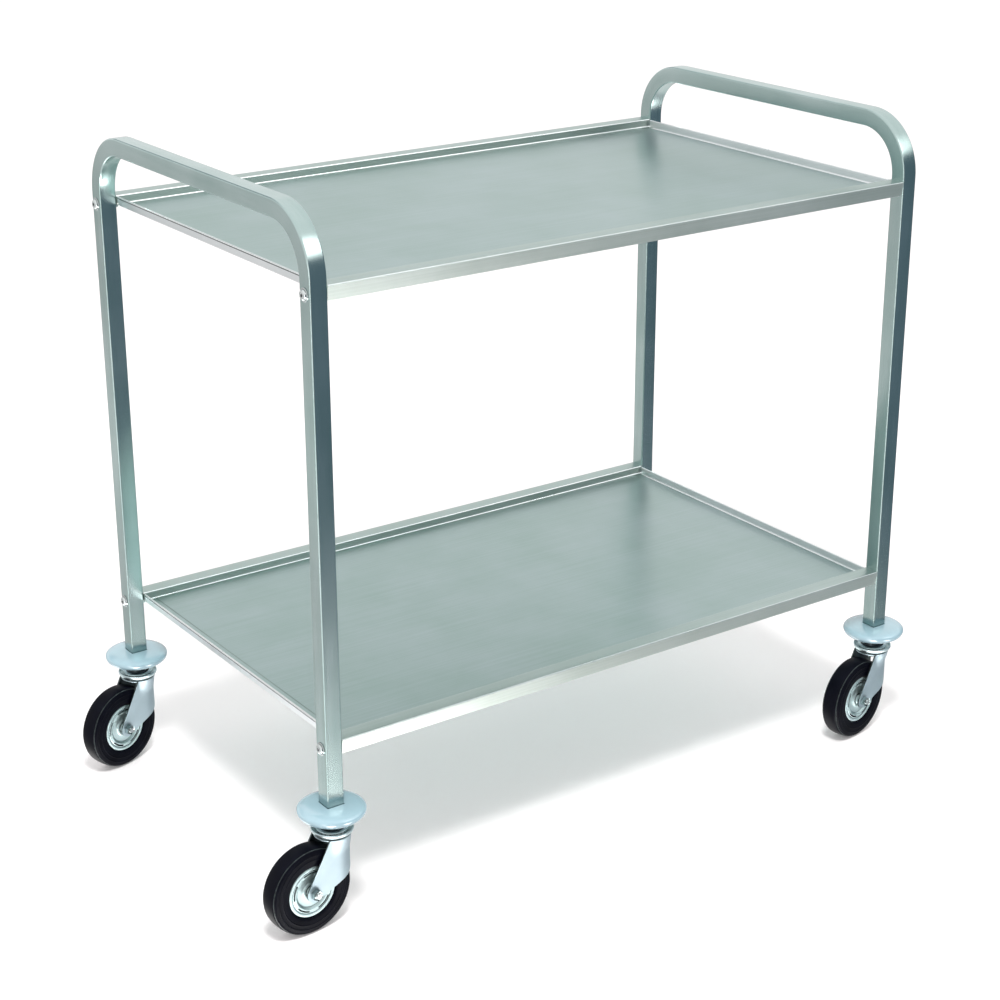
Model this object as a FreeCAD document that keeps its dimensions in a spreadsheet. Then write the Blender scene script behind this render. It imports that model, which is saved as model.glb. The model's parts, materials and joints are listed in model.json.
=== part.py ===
import FreeCAD, Part

import math
import os

import Sketcher

# Service trolley: two folded steel trays bolted between two bent square-tube
# end frames, each leg standing on a swivel caster with a round wall bumper.
# Millimetres, +X along the trays, +Z up, the floor at Z = 0.

doc = FreeCAD.newDocument("service_trolley")

SIZES = [
    # overall
    ("outer_length", 1000.0, "over the outer faces of the legs"),
    ("outer_width", 600.0, "over the outer faces of the legs"),
    ("plan_shift", 30.0, "moves the trolley so the trailing wheels are balanced about X = 0"),
    # end frames
    ("tube_side", 25.0, "square tube, outside"),
    ("tube_wall", 1.5, "tube wall"),
    ("tube_corner", 2.5, "outer corner radius of the tube"),
    ("bend_radius", 75.0, "centreline radius of the two top bends"),
    ("leg_foot", 168.0, "lower end of the legs"),
    ("handle_top", 962.0, "top of the end frames"),
    # trays
    ("upper_rim", 870.0, "top of the upper tray's rim"),
    ("lower_rim", 267.0, "top of the lower tray's rim"),
    ("sheet", 1.2, "tray sheet thickness"),
    ("rim_width", 25.0, "flat top of the long rims"),
    ("deck_depth", 12.6, "rim top down to the deck"),
    ("skirt_depth", 20.0, "rim top down to the skirt's lower edge"),
    ("fold_radius", 2.0, "outer radius of the folds"),
    ("hem", 2.6, "thickness of the folded-over end upstand"),
    ("end_drop", 1.0, "end upstand below the rim top"),
    ("joggle_step", 0.8, "drop of the deck's end strips"),
    ("joggle_inset", 17.5, "width of the deck's end strips"),
    ("corner_slit", 1.6, "gap between an end upstand and a long rim"),
    # tray fasteners
    ("screw_drop", 11.0, "rim top down to the screw axis"),
    ("screw_radius", 3.0, "M6 shank"),
    ("screw_clearance", 0.2, "radial clearance of the screw in the tube"),
    ("screw_reach", 36.5, "shank length past the washer"),
    ("dome_radius", 7.0, "screw head"),
    ("dome_height", 3.6, "screw head"),
    ("socket_flats", 4.0, "hexagon socket across flats"),
    ("socket_depth", 2.0, "hexagon socket"),
    ("washer_radius", 9.0, "washer under a screw head"),
    ("washer_thickness", 1.2, "washer under a screw head"),
    ("bracket_sheet", 2.5, "angle bracket in a rim's end"),
    ("bracket_height", 15.5, "angle bracket, below the rim's sheet"),
    ("bracket_width", 21.0, "angle bracket, across the rim"),
    ("bracket_reach", 26.0, "angle bracket, along the rim"),
    ("nut_flats", 10.0, "M6 nut across flats"),
    ("nut_thickness", 5.0, "M6 nut"),
    # casters: heights above the floor, plan sizes from the swivel axis
    ("wheel_radius", 62.5, "tyre"),
    ("tread_half", 15.0, "half the tyre width"),
    ("tread_edge", 60.3, "radius of the tread at its shoulders"),
    ("shoulder_half", 11.6, "half the tread between its edge grooves"),
    ("groove_depth", 1.6, "edge grooves of the tread"),
    ("groove_width", 1.3, "edge grooves of the tread"),
    ("bead_radius", 36.6, "foot of the tyre's side wall"),
    ("bead_half", 12.0, "half the width of the clamped bead"),
    ("bead_bore", 27.5, "inside of the clamped bead"),
    ("disc_radius", 36.0, "rim disc"),
    ("disc_sheet", 1.3, "rim disc sheet"),
    ("dish_radius", 25.5, "foot of the disc's dish"),
    ("dish_depth", 3.2, "depth of the disc's dish"),
    ("slot_radius", 28.2, "middle of the disc's curved slots"),
    ("slot_width", 2.6, "curved slots"),
    ("slot_angle", 44.0, "sweep of a curved slot"),
    ("hub_radius", 8.5, "hub tube"),
    ("hub_half", 17.1, "half the hub tube's length"),
    ("axle_radius", 4.0, "M8 axle bolt"),
    ("running_gap", 0.05, "radial clearance of a running fit"),
    ("trail", 43.5, "swivel axis back to the axle"),
    ("fork_inside", 17.5, "half the gap between the fork arms"),
    ("fork_sheet", 2.5, "fork sheet"),
    ("fork_front", 17.0, "swivel axis forward to the fork's edge"),
    ("fork_boss", 12.0, "rounded end of a fork arm"),
    ("fork_rear_angle", 59.8, "slope of an arm's rear edge"),
    ("fork_toe_angle", 21.5, "slope of an arm's lower edge"),
    ("fork_toe_radius", 14.0, "corner between an arm's front and lower edges"),
    ("fork_shoulder", 7.0, "bend between crown and arms"),
    ("crown_sheet", 3.0, "fork crown"),
    ("crown_top", 131.0, "top of the fork crown"),
    ("crown_radius", 23.0, "round crown plate"),
    ("cup_radius", 28.75, "rolled lip of the lower race cup"),
    ("cup_floor", 21.0, "flat floor of the cup"),
    ("cup_sheet", 1.5, "race cup sheet"),
    ("cup_height", 9.2, "race cup"),
    ("ball_radius", 2.5, "swivel balls"),
    ("ball_circle", 18.0, "circle of the swivel balls"),
    ("race_radius", 22.0, "upper race"),
    ("race_sheet", 2.2, "upper race"),
    ("collar_radius", 15.0, "collar of the upper race"),
    ("race_gap", 0.3, "clearance over the balls"),
    ("stem_radius", 6.0, "kingpin"),
    ("stem_foot", 119.0, "lower end of the kingpin"),
    ("stem_head", 204.0, "upper end of the kingpin"),
    ("kingpin_flats", 19.0, "kingpin nut across flats"),
    ("kingpin_nut_height", 7.0, "kingpin nut"),
    ("bumper_radius", 46.0, "wall bumper"),
    ("bumper_foot", 156.0, "underside of the bumper"),
    ("bumper_wide", 167.0, "height of the bumper's widest circle"),
    ("bumper_shoulder", 171.4, "start of the bumper's upper slope"),
    ("bumper_top", 174.0, "bumper top around the leg"),
    ("bumper_round", 4.6, "radial size of the bumper's rounded edge"),
    ("bumper_socket", 12.8, "half the square socket for the leg"),
    ("insert_half", 10.95, "half the square leg insert"),
    ("insert_height", 36.0, "leg insert"),
    ("axle_nut_flats", 13.0, "M8 nut across flats"),
    ("axle_nut_height", 6.5, "M8 nut"),
    ("axle_head_height", 5.3, "M8 bolt head"),
    ("axle_end", 2.5, "bolt end beyond the nut"),
    # how far each fork stands turned from straight back
    ("yaw_front_left", 4.6, "degrees"),
    ("yaw_back_left", 16.3, "degrees"),
    ("yaw_front_right", 10.2, "degrees"),
    ("yaw_back_right", 10.0, "degrees"),
]

BALL_COUNT = 18
SLOT_COUNT = 5
# corner name: which way along X and Y it lies from the middle
CORNERS = {"front_left": (-1, -1), "back_left": (-1, 1), "front_right": (1, -1), "back_right": (1, 1)}


class Size:
    """A length or angle together with the sheet expression that gives it."""

    def __init__(self, value, text):
        self.value = value
        self.text = text

    def __add__(self, other):
        other = as_size(other)
        return Size(self.value + other.value, f"({self.text} + {other.text})")

    def __sub__(self, other):
        other = as_size(other)
        return Size(self.value - other.value, f"({self.text} - {other.text})")

    def __mul__(self, other):
        other = as_size(other)
        return Size(self.value * other.value, f"({self.text} * {other.text})")

    def __truediv__(self, other):
        other = as_size(other)
        return Size(self.value / other.value, f"({self.text} / {other.text})")

    def __neg__(self):
        return Size(-self.value, f"(0 - {self.text})")


def as_size(number):
    return number if isinstance(number, Size) else Size(float(number), f"{number:g}")


def turned(kind, angle):
    """The sine, cosine or tangent (kind: sin, cos, tan) of a size in degrees."""
    value = getattr(math, kind)(math.radians(angle.value))
    return Size(value, f"{kind}({angle.text} * 1 deg)")


def make_sheet():
    """Fill the spreadsheet and return its cells as sizes, by alias."""
    sheet = doc.addObject("Spreadsheet::Sheet", "Sheet")
    cells = {}
    for row, (alias, value, note) in enumerate(SIZES, start=1):
        sheet.set(f"A{row}", alias)
        sheet.set(f"B{row}", f"{value:g}")
        sheet.set(f"C{row}", note)
        sheet.setAlias(f"B{row}", alias)
        cells[alias] = Size(value, f"Sheet.{alias}")
    doc.recompute()
    return cells


S = make_sheet()

leg_x = (S["outer_length"] - S["tube_side"]) / 2
leg_y = (S["outer_width"] - S["tube_side"]) / 2
tray_half = S["outer_length"] / 2 - S["tube_side"]
rim_inner = S["outer_width"] / 2 - S["rim_width"]
shelf_spacing = S["upper_rim"] - S["lower_rim"]
zero = as_size(0)


# Helpers: bodies, sketches and features bound to the sheet

def bind(obj, name, size):
    """Set a property from a size, through its expression."""
    obj.setExpression(name, as_size(size).text)


def new_body(name, x=zero, y=zero, z=zero, yaw=None):
    body = doc.addObject("PartDesign::Body", name)
    body.Label = name
    turn = FreeCAD.Rotation(FreeCAD.Vector(0, 0, 1), yaw.value if yaw else 0)
    body.Placement = FreeCAD.Placement(FreeCAD.Vector(x.value, y.value, z.value), turn)
    bind(body, "Placement.Base.x", x)
    bind(body, "Placement.Base.y", y)
    bind(body, "Placement.Base.z", z)
    if yaw:
        bind(body, "Placement.Rotation.Angle", yaw)
    return body


def datum(body, role):
    return next(item for item in body.Origin.OriginFeatures if item.Role == role)


def new_sketch(body, plane, offset=None):
    """A sketch on one of the body's own origin planes, moved along its normal."""
    sketch = body.newObject("Sketcher::SketchObject", f"{body.Label}_sketch")
    sketch.AttachmentSupport = [(datum(body, plane), "")]
    sketch.MapMode = "FlatFace"
    if offset is not None:
        bind(sketch, "AttachmentOffset.Base.z", offset)
    return sketch


def lock(sketch, geometry, end, u, v):
    """Hold one point of the sketch at sizes u and v from its origin."""
    for kind, size, axis in (("DistanceX", u, -2), ("DistanceY", v, -1)):
        if size is zero:
            sketch.addConstraint(Sketcher.Constraint("PointOnObject", geometry, end, axis))
        else:
            item = sketch.addConstraint(Sketcher.Constraint(kind, -1, 1, geometry, end, size.value))
            sketch.setExpression(f"Constraints[{item}]", size.text)


def arc_between(start, end, radius):
    """The short arc from start to end; its centre lies to the left of the way there."""
    chord = end - start
    half = chord.Length / 2
    right = FreeCAD.Vector(chord.y, -chord.x, 0).normalize()
    rise = radius - math.sqrt(max(radius * radius - half * half, 0))
    return Part.Arc(start, (start + end) / 2 + right * rise, end)


def draw(sketch, points, closed=True):
    """Join points (u, v) by lines; (u, v, radius) arrives by an arc instead.

    A positive radius turns left along the outline and a negative one right.
    """
    places = [FreeCAD.Vector(p[0].value, p[1].value, 0) for p in points]
    count = len(points)
    segments = []
    for index in range(count if closed else count - 1):
        start, end = places[index], places[(index + 1) % count]
        target = points[(index + 1) % count]
        if len(target) == 2:
            item = sketch.addGeometry(Part.LineSegment(start, end), False)
            segments.append((item, 1, 2))
            continue
        radius = target[2]
        if radius.value > 0:
            item = sketch.addGeometry(arc_between(start, end, radius.value), False)
            segments.append((item, 1, 2))
        else:
            item = sketch.addGeometry(arc_between(end, start, -radius.value), False)
            segments.append((item, 2, 1))
            radius = -radius
        hold = sketch.addConstraint(Sketcher.Constraint("Radius", item, radius.value))
        sketch.setExpression(f"Constraints[{hold}]", radius.text)
    for index, (item, first, last) in enumerate(segments):
        lock(sketch, item, first, points[index][0], points[index][1])
        if closed or index + 1 < len(segments):
            after, after_first, _ = segments[(index + 1) % len(segments)]
            join = Sketcher.Constraint("Coincident", item, last, after, after_first)
            sketch.addConstraint(join)
        else:
            lock(sketch, item, last, points[-1][0], points[-1][1])
    return sketch


def rounded(corners):
    """Outline of an axis-aligned polygon whose corners (u, v, radius) are rounded."""
    points = []
    count = len(corners)
    for index, corner in enumerate(corners):
        if len(corner) == 2:
            points.append(corner)
            continue
        u, v, radius = corner
        before, after = corners[index - 1], corners[(index + 1) % count]
        come = (sign(u.value - before[0].value), sign(v.value - before[1].value))
        leave = (sign(after[0].value - u.value), sign(after[1].value - v.value))
        left = come[0] * leave[1] - come[1] * leave[0]
        points.append((along(u, radius, -come[0]), along(v, radius, -come[1])))
        points.append((along(u, radius, leave[0]), along(v, radius, leave[1]),
                       radius if left > 0 else -radius))
    return points


def sign(number):
    if abs(number) < 1e-6:
        return 0
    return 1 if number > 0 else -1


def along(size, step, way):
    if way == 0:
        return size
    return size + step if way > 0 else size - step


def rectangle(u_low, v_low, u_high, v_high, radius=None):
    """Corners of a rectangle, counter-clockwise, rounded where a radius is given."""
    corners = [(u_low, v_low), (u_high, v_low), (u_high, v_high), (u_low, v_high)]
    if radius is None:
        return corners
    return rounded([corner + (radius,) for corner in corners])


def hexagon(flats):
    """Corners of a hexagon of the given width across flats about the origin."""
    half = flats / 2
    point = flats / as_size(round(math.sqrt(3), 9))
    side = point / 2
    return [(point, zero), (side, half), (-side, half), (-point, zero), (-side, -half), (side, -half)]


def circle(sketch, radius, u=zero, v=zero):
    place = FreeCAD.Vector(u.value, v.value, 0)
    item = sketch.addGeometry(Part.Circle(place, FreeCAD.Vector(0, 0, 1), radius.value), False)
    lock(sketch, item, 3, u, v)
    hold = sketch.addConstraint(Sketcher.Constraint("Radius", item, radius.value))
    sketch.setExpression(f"Constraints[{hold}]", radius.text)
    return sketch


def pad(body, sketch, length, both_ways=False, back=False):
    feature = body.newObject("PartDesign::Pad", f"{body.Label}_pad")
    feature.Profile = sketch
    feature.SideType = "Symmetric" if both_ways else "One side"
    feature.Reversed = back
    bind(feature, "Length", length)
    body.Tip = feature
    return feature


def cut(body, sketch, length, both_ways=False, back=False):
    """Pocket a sketch; stops the build when nothing was removed."""
    doc.recompute()
    before = body.Tip.Shape.Volume
    feature = body.newObject("PartDesign::Pocket", f"{body.Label}_cut")
    feature.Profile = sketch
    feature.SideType = "Symmetric" if both_ways else "One side"
    feature.Reversed = back
    bind(feature, "Length", length)
    body.Tip = feature
    doc.recompute()
    if feature.Shape.Volume > before - 0.01:
        raise RuntimeError(f"{body.Label}: the pocket removed nothing")
    return feature


def revolve(body, sketch):
    """Turn a sketch right round its own vertical axis."""
    feature = body.newObject("PartDesign::Revolution", f"{body.Label}_turn")
    feature.Profile = sketch
    feature.ReferenceAxis = (sketch, ["V_Axis"])
    feature.Angle = 360
    body.Tip = feature
    return feature


def ring(body, inner, outer, low, high, plane="XZ_Plane"):
    """A plain ring turned round the sketch's vertical axis."""
    sketch = draw(new_sketch(body, plane), rectangle(inner, low, outer, high))
    return revolve(body, sketch)


def mirror(body, plane):
    """Add the mirror image of everything so far across an origin plane."""
    doc.recompute()
    feature = body.newObject("PartDesign::Mirrored", f"{body.Label}_mirror")
    feature.TransformMode = "Whole shape"
    feature.MirrorPlane = (datum(body, plane), [""])
    body.Tip = feature
    return feature


def repeat_up(body, distance):
    """Add a second copy of everything so far, a distance up."""
    doc.recompute()
    feature = body.newObject("PartDesign::LinearPattern", f"{body.Label}_repeat")
    feature.TransformMode = "Whole shape"
    feature.Direction = (datum(body, "Z_Axis"), [""])
    feature.Occurrences = 2
    bind(feature, "Length", distance)
    body.Tip = feature
    return feature


def repeat_round(body, count, axis, only=None):
    """Repeat everything so far, or only one feature, round an origin axis."""
    doc.recompute()
    feature = body.newObject("PartDesign::PolarPattern", f"{body.Label}_round")
    if only:
        feature.Originals = [only]
    else:
        feature.TransformMode = "Whole shape"
    feature.Axis = (datum(body, axis), [""])
    feature.Angle = 360
    feature.Occurrences = count
    body.Tip = feature
    return feature


def fillet(body, radius, wanted):
    """Round the edges of the tip whose middle points satisfy wanted(point)."""
    doc.recompute()
    base = body.Tip
    names = []
    for number, edge in enumerate(base.Shape.Edges, start=1):
        middle = edge.valueAt((edge.FirstParameter + edge.LastParameter) / 2)
        if wanted(middle, edge):
            names.append(f"Edge{number}")
    feature = body.newObject("PartDesign::Fillet", f"{body.Label}_fillet")
    feature.Base = (base, names)
    bind(feature, "Radius", radius)
    body.Tip = feature
    return feature


# End frames and trays

def end_frame(name, side):
    """A square tube bent to an upright arch: two legs and the push handle."""
    body = new_body(name, S["plan_shift"] + leg_x * side, zero, S["leg_foot"])
    height = S["handle_top"] - S["leg_foot"] - S["tube_side"] / 2
    spine = new_sketch(body, "YZ_Plane")
    bend = S["bend_radius"]
    draw(spine, [
        (-leg_y, zero),
        (-leg_y, height - bend),
        (bend - leg_y, height, -bend),
        (leg_y - bend, height),
        (leg_y, height - bend, -bend),
        (leg_y, zero),
    ], closed=False)
    half = S["tube_side"] / 2
    inner = half - S["tube_wall"]
    profile = new_sketch(body, "XY_Plane")
    draw(profile, rectangle(-half, -leg_y - half, half, half - leg_y, S["tube_corner"]))
    bore_corner = S["tube_corner"] - S["tube_wall"]
    draw(profile, rectangle(-inner, -leg_y - inner, inner, inner - leg_y, bore_corner))
    doc.recompute()
    sweep = body.newObject("PartDesign::AdditivePipe", f"{name}_sweep")
    sweep.Profile = profile
    sweep.Spine = (spine, [f"Edge{number}" for number in range(1, 6)])
    body.Tip = sweep
    holes = new_sketch(body, "YZ_Plane")
    for rim in (S["lower_rim"], S["upper_rim"]):
        for leg in (-leg_y, leg_y):
            circle(holes, S["screw_radius"] + S["screw_clearance"], leg, rim - S["screw_drop"] - S["leg_foot"])
    cut(body, holes, S["tube_side"] * 2, both_ways=True)
    return body


def tray(name, rim):
    """Folded sheet: channel rims front and back, hemmed upstands at the ends.

    The body's own origin is at the rim top, above the middle of the deck.
    """
    body = new_body(name, S["plan_shift"], zero, rim)
    sheet = S["sheet"]
    deck = -S["deck_depth"]
    face = S["outer_width"] / 2
    bend = S["fold_radius"]
    inside = bend - sheet
    section = [
        (face, -S["skirt_depth"]),
        (face, zero, bend),
        (rim_inner, zero, bend),
        (rim_inner, deck, inside),
        (rim_inner - bend * 3, deck),
        (rim_inner - bend * 3, deck - sheet),
        (rim_inner + sheet, deck - sheet, bend),
        (rim_inner + sheet, -sheet, inside),
        (face - sheet, -sheet, inside),
        (face - sheet, -S["skirt_depth"]),
    ]
    pad(body, draw(new_sketch(body, "YZ_Plane"), rounded(section)), tray_half * 2, both_ways=True)
    mirror(body, "XZ_Plane")

    across = rim_inner - bend * 2
    step = tray_half - S["hem"] - S["joggle_inset"]
    plate = new_sketch(body, "XY_Plane", deck)
    draw(plate, rectangle(-step, -across, step, across))
    pad(body, plate, sheet, back=True)

    strip = deck - S["joggle_step"]
    under = strip - sheet
    wall = tray_half - S["hem"]
    for way in (-1, 1):
        end = new_sketch(body, "XZ_Plane")
        outline = [
            ((step - sheet) * way, deck),
            (step * way, deck),
            (step * way, strip),
            (wall * way, strip),
            (wall * way, -S["end_drop"]),
            (tray_half * way, -S["end_drop"]),
            (tray_half * way, under),
            ((step - sheet) * way, under),
        ]
        draw(end, outline)
        pad(body, end, (rim_inner + sheet / 2) * 2, both_ways=True)
    slits = new_sketch(body, "XY_Plane")
    for way_x in (-1, 1):
        for way_y in (-1, 1):
            near = (rim_inner - S["corner_slit"]) * way_y
            far = rim_inner * way_y
            low, high = (near, far) if way_y > 0 else (far, near)
            left, right = (wall, tray_half + 1) if way_x > 0 else (-tray_half - 1, -wall)
            draw(slits, rectangle(left, low, right, high))
    cut(body, slits, S["deck_depth"])
    return body


def tray_brackets(name, rim):
    """Angle brackets welded inside the rims' ends, one at each corner."""
    body = new_body(name, S["plan_shift"], zero, rim - S["sheet"])
    near = leg_y - S["bracket_width"] / 2
    far = leg_y + S["bracket_width"] / 2
    drop = -S["bracket_height"]
    thick = S["bracket_sheet"]
    side = new_sketch(body, "XZ_Plane", -(near + far) / 2)
    draw(side, [
        (tray_half, zero),
        (tray_half - S["bracket_reach"], zero),
        (tray_half - S["bracket_reach"], -thick),
        (tray_half - thick, -thick),
        (tray_half - thick, drop),
        (tray_half, drop),
    ])
    pad(body, side, S["bracket_width"], both_ways=True)
    hole = circle(new_sketch(body, "YZ_Plane", tray_half), S["screw_radius"] + S["screw_clearance"],
                  leg_y, S["sheet"] - S["screw_drop"])
    cut(body, hole, thick * 2)
    mirror(body, "XZ_Plane")
    mirror(body, "YZ_Plane")
    return body


def at_all_screws(body):
    """Repeat one fastener, drawn at the back right of the lower tray, at all eight screws."""
    mirror(body, "XZ_Plane")
    mirror(body, "YZ_Plane")
    repeat_up(body, shelf_spacing)
    return body


def screw_body(name):
    return new_body(name, S["plan_shift"], zero, S["lower_rim"] - S["screw_drop"])


def tray_screws():
    """Domed socket screws through the legs into the tray brackets."""
    body = screw_body("tray_screws")
    seat = S["outer_length"] / 2 + S["washer_thickness"]
    shank = circle(new_sketch(body, "YZ_Plane", seat), S["screw_radius"], leg_y, zero)
    pad(body, shank, S["screw_reach"], back=True)
    head = circle(new_sketch(body, "YZ_Plane", seat), S["dome_radius"], leg_y, zero)
    pad(body, head, S["dome_height"])
    tip = S["outer_length"] / 2 + S["washer_thickness"] + S["dome_height"]
    fillet(body, S["dome_height"] - 0.6, lambda p, edge: abs(p.x - tip.value) < 0.01)
    doc.recompute()
    key = new_sketch(body, "YZ_Plane", tip)
    draw(key, [(u + leg_y, v) for u, v in hexagon(S["socket_flats"])])
    cut(body, key, S["socket_depth"])
    return at_all_screws(body)


def fastener_ring(name, start, thickness, inner, outer):
    """Rings on the tray screws, each starting at a distance from the middle."""
    body = screw_body(name)
    sketch = new_sketch(body, "YZ_Plane", start)
    circle(sketch, inner, leg_y, zero)
    circle(sketch, outer, leg_y, zero)
    pad(body, sketch, thickness)
    return at_all_screws(body)


def tray_nuts():
    """Nuts welded behind the tray brackets."""
    body = screw_body("tray_nuts")
    sketch = new_sketch(body, "YZ_Plane", tray_half - S["bracket_sheet"])
    draw(sketch, [(u + leg_y, v) for u, v in hexagon(S["nut_flats"])])
    circle(sketch, S["screw_radius"] + S["running_gap"], leg_y, zero)
    pad(body, sketch, S["nut_thickness"], back=True)
    return at_all_screws(body)


def leg_inserts():
    """Square plugs pressed into the legs' feet, bored for the kingpins."""
    body = new_body("leg_inserts", S["plan_shift"], zero, S["leg_foot"])
    half = S["insert_half"]
    sketch = new_sketch(body, "XY_Plane")
    corner = S["tube_corner"] / 2
    draw(sketch, rectangle(leg_x - half, leg_y - half, leg_x + half, leg_y + half, corner))
    circle(sketch, S["stem_radius"] + S["running_gap"], leg_x, leg_y)
    pad(body, sketch, S["insert_height"])
    mirror(body, "XZ_Plane")
    mirror(body, "YZ_Plane")
    return body


# Casters: the swivel axis is each body's own Z axis and Z = 0 is the floor

def caster_body(corner, piece):
    """A body on a caster's swivel axis, turned with its fork."""
    way_x, way_y = CORNERS[corner]
    x = S["plan_shift"] + leg_x * way_x
    return new_body(f"{corner}_{piece}", x, leg_y * way_y, zero, S[f"yaw_{corner}"])


def fixed_body(corner, piece):
    """A body on a caster's swivel axis, square to the leg."""
    way_x, way_y = CORNERS[corner]
    return new_body(f"{corner}_{piece}", S["plan_shift"] + leg_x * way_x, leg_y * way_y, zero)


def wheel_body(corner, piece):
    """A body at the hub, its own Y axis along the axle."""
    way_x, way_y = CORNERS[corner]
    yaw = S[f"yaw_{corner}"]
    x = S["plan_shift"] + leg_x * way_x - S["trail"] * turned("cos", yaw)
    y = leg_y * way_y - S["trail"] * turned("sin", yaw)
    return new_body(f"{corner}_{piece}", x, y, S["wheel_radius"], yaw)


def bumper(corner):
    """Moulded ring with a rounded edge and a square socket for the leg."""
    body = fixed_body(corner, "bumper")
    edge = S["bumper_radius"]
    shoulder = edge - S["bumper_round"]
    rise = S["bumper_shoulder"] - S["bumper_wide"]
    heel = edge - S["bumper_round"] * 0.36
    sketch = new_sketch(body, "XZ_Plane")
    draw(sketch, [
        (S["stem_radius"] + 0.3, S["bumper_foot"]),
        (shoulder, S["bumper_foot"]),
        (heel, S["bumper_foot"] + rise, S["bumper_round"] * 1.6),
        (edge, S["bumper_wide"], S["bumper_round"] * 3),
        (shoulder, S["bumper_shoulder"], S["bumper_round"]),
        (S["tube_side"] * 0.72, S["bumper_top"]),
        (S["stem_radius"] + 0.3, S["bumper_top"]),
    ])
    revolve(body, sketch)
    half = S["bumper_socket"]
    socket = new_sketch(body, "XY_Plane", S["bumper_top"])
    draw(socket, rectangle(-half, -half, half, half))
    cut(body, socket, S["bumper_top"] - S["leg_foot"])
    return body


def stem(corner):
    """Kingpin from the nut below the crown up into the leg insert."""
    body = fixed_body(corner, "stem")
    sketch = circle(new_sketch(body, "XY_Plane", S["stem_foot"]), S["stem_radius"])
    pad(body, sketch, S["stem_head"] - S["stem_foot"])
    return body


def ball_level():
    return S["crown_top"] + S["cup_sheet"] + S["ball_radius"]


def upper_race(corner):
    """Fixed race over the balls, with a collar up to the bumper."""
    body = fixed_body(corner, "upper_race")
    bore = S["stem_radius"] + S["running_gap"]
    low = ball_level() + S["ball_radius"] + S["race_gap"]
    high = low + S["race_sheet"]
    sketch = new_sketch(body, "XZ_Plane")
    draw(sketch, [
        (bore, low),
        (S["race_radius"], low),
        (S["race_radius"], high),
        (S["collar_radius"], high),
        (S["collar_radius"], S["bumper_foot"]),
        (bore, S["bumper_foot"]),
    ])
    revolve(body, sketch)
    return body


def kingpin_nut(corner):
    """Nut that holds the fork on the kingpin."""
    body = fixed_body(corner, "kingpin_nut")
    top = S["crown_top"] - S["crown_sheet"] - S["race_gap"]
    sketch = new_sketch(body, "XY_Plane", top)
    draw(sketch, hexagon(S["kingpin_flats"]))
    circle(sketch, S["stem_radius"] + S["running_gap"])
    pad(body, sketch, S["kingpin_nut_height"], back=True)
    return body


def fork(corner):
    """Pressed fork: a crown plate and two swept-back arms."""
    body = caster_body(corner, "fork")
    hub = S["wheel_radius"]
    rear = S["fork_rear_angle"]
    toe = S["fork_toe_angle"]
    boss = S["fork_boss"]
    top = S["crown_top"]
    front = S["fork_front"]
    back_x = -S["trail"] - boss * turned("sin", rear)
    back_z = hub + boss * turned("cos", rear)
    low_x = boss * turned("sin", toe) - S["trail"]
    low_z = hub - boss * turned("cos", toe)
    corner_z = low_z + (front - low_x) * turned("tan", toe)
    reach = S["fork_toe_radius"] * turned("tan", (as_size(90) - toe) / 2)
    side = new_sketch(body, "XZ_Plane")
    draw(side, [
        (back_x + (top - back_z) / turned("tan", rear), top),
        (back_x, back_z),
        (-S["trail"], hub - boss, boss),
        (low_x, low_z, boss),
        (front - reach * turned("cos", toe), corner_z - reach * turned("sin", toe)),
        (front, corner_z + reach, S["fork_toe_radius"]),
        (front, top),
    ])
    outside = S["fork_inside"] + S["fork_sheet"]
    pad(body, side, outside * 2, both_ways=True)
    fillet(body, S["fork_shoulder"],
           lambda p, edge: abs(abs(p.y) - outside.value) < 0.01 and abs(p.z - top.value) < 0.01)
    crown = circle(new_sketch(body, "XY_Plane", top), S["crown_radius"])
    under = S["crown_sheet"]
    pad(body, crown, under, back=True)
    gap = new_sketch(body, "YZ_Plane")
    inside = S["fork_inside"]
    bend = S["fork_shoulder"] - S["fork_sheet"]
    arch = [(-inside, zero), (inside, zero), (inside, top - under, bend), (-inside, top - under, bend)]
    draw(gap, rounded(arch))
    cut(body, gap, (S["trail"] + boss) * 3, both_ways=True)
    hole = circle(new_sketch(body, "XY_Plane", top), S["stem_radius"] + S["running_gap"])
    cut(body, hole, under * 2)
    axle = circle(new_sketch(body, "XZ_Plane"), S["axle_radius"] + S["running_gap"], -S["trail"], hub)
    cut(body, axle, outside * 3, both_ways=True)
    return body


def race_cup(corner):
    """Dished lower race with a rolled lip, riveted on the crown."""
    body = caster_body(corner, "race_cup")
    base = S["crown_top"]
    sheet = S["cup_sheet"]
    lip = base + S["cup_height"]
    roll = sheet / 2
    edge = S["cup_radius"]
    bore = S["stem_radius"] + 0.3
    sketch = new_sketch(body, "XZ_Plane")
    draw(sketch, [
        (bore, base),
        (S["cup_floor"] + 1, base),
        (edge, base + sheet * 2.6),
        (edge, lip - roll),
        (edge - roll, lip, roll),
        (edge - sheet, lip - roll, roll),
        (edge - sheet, base + sheet * 3),
        (S["cup_floor"], base + sheet),
        (bore, base + sheet),
    ])
    revolve(body, sketch)
    return body


def race_balls(corner):
    """Ring of loose balls between cup and upper race."""
    body = caster_body(corner, "race_balls")
    ball = body.newObject("PartDesign::AdditiveSphere", f"{body.Label}_ball")
    bind(ball, "Radius", S["ball_radius"] - 0.02)
    ball.AttachmentSupport = [(datum(body, "XY_Plane"), "")]
    ball.MapMode = "FlatFace"
    bind(ball, "AttachmentOffset.Base.x", S["ball_circle"])
    bind(ball, "AttachmentOffset.Base.z", ball_level())
    body.Tip = ball
    doc.recompute()
    repeat_round(body, BALL_COUNT, "Z_Axis")
    return body


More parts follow.
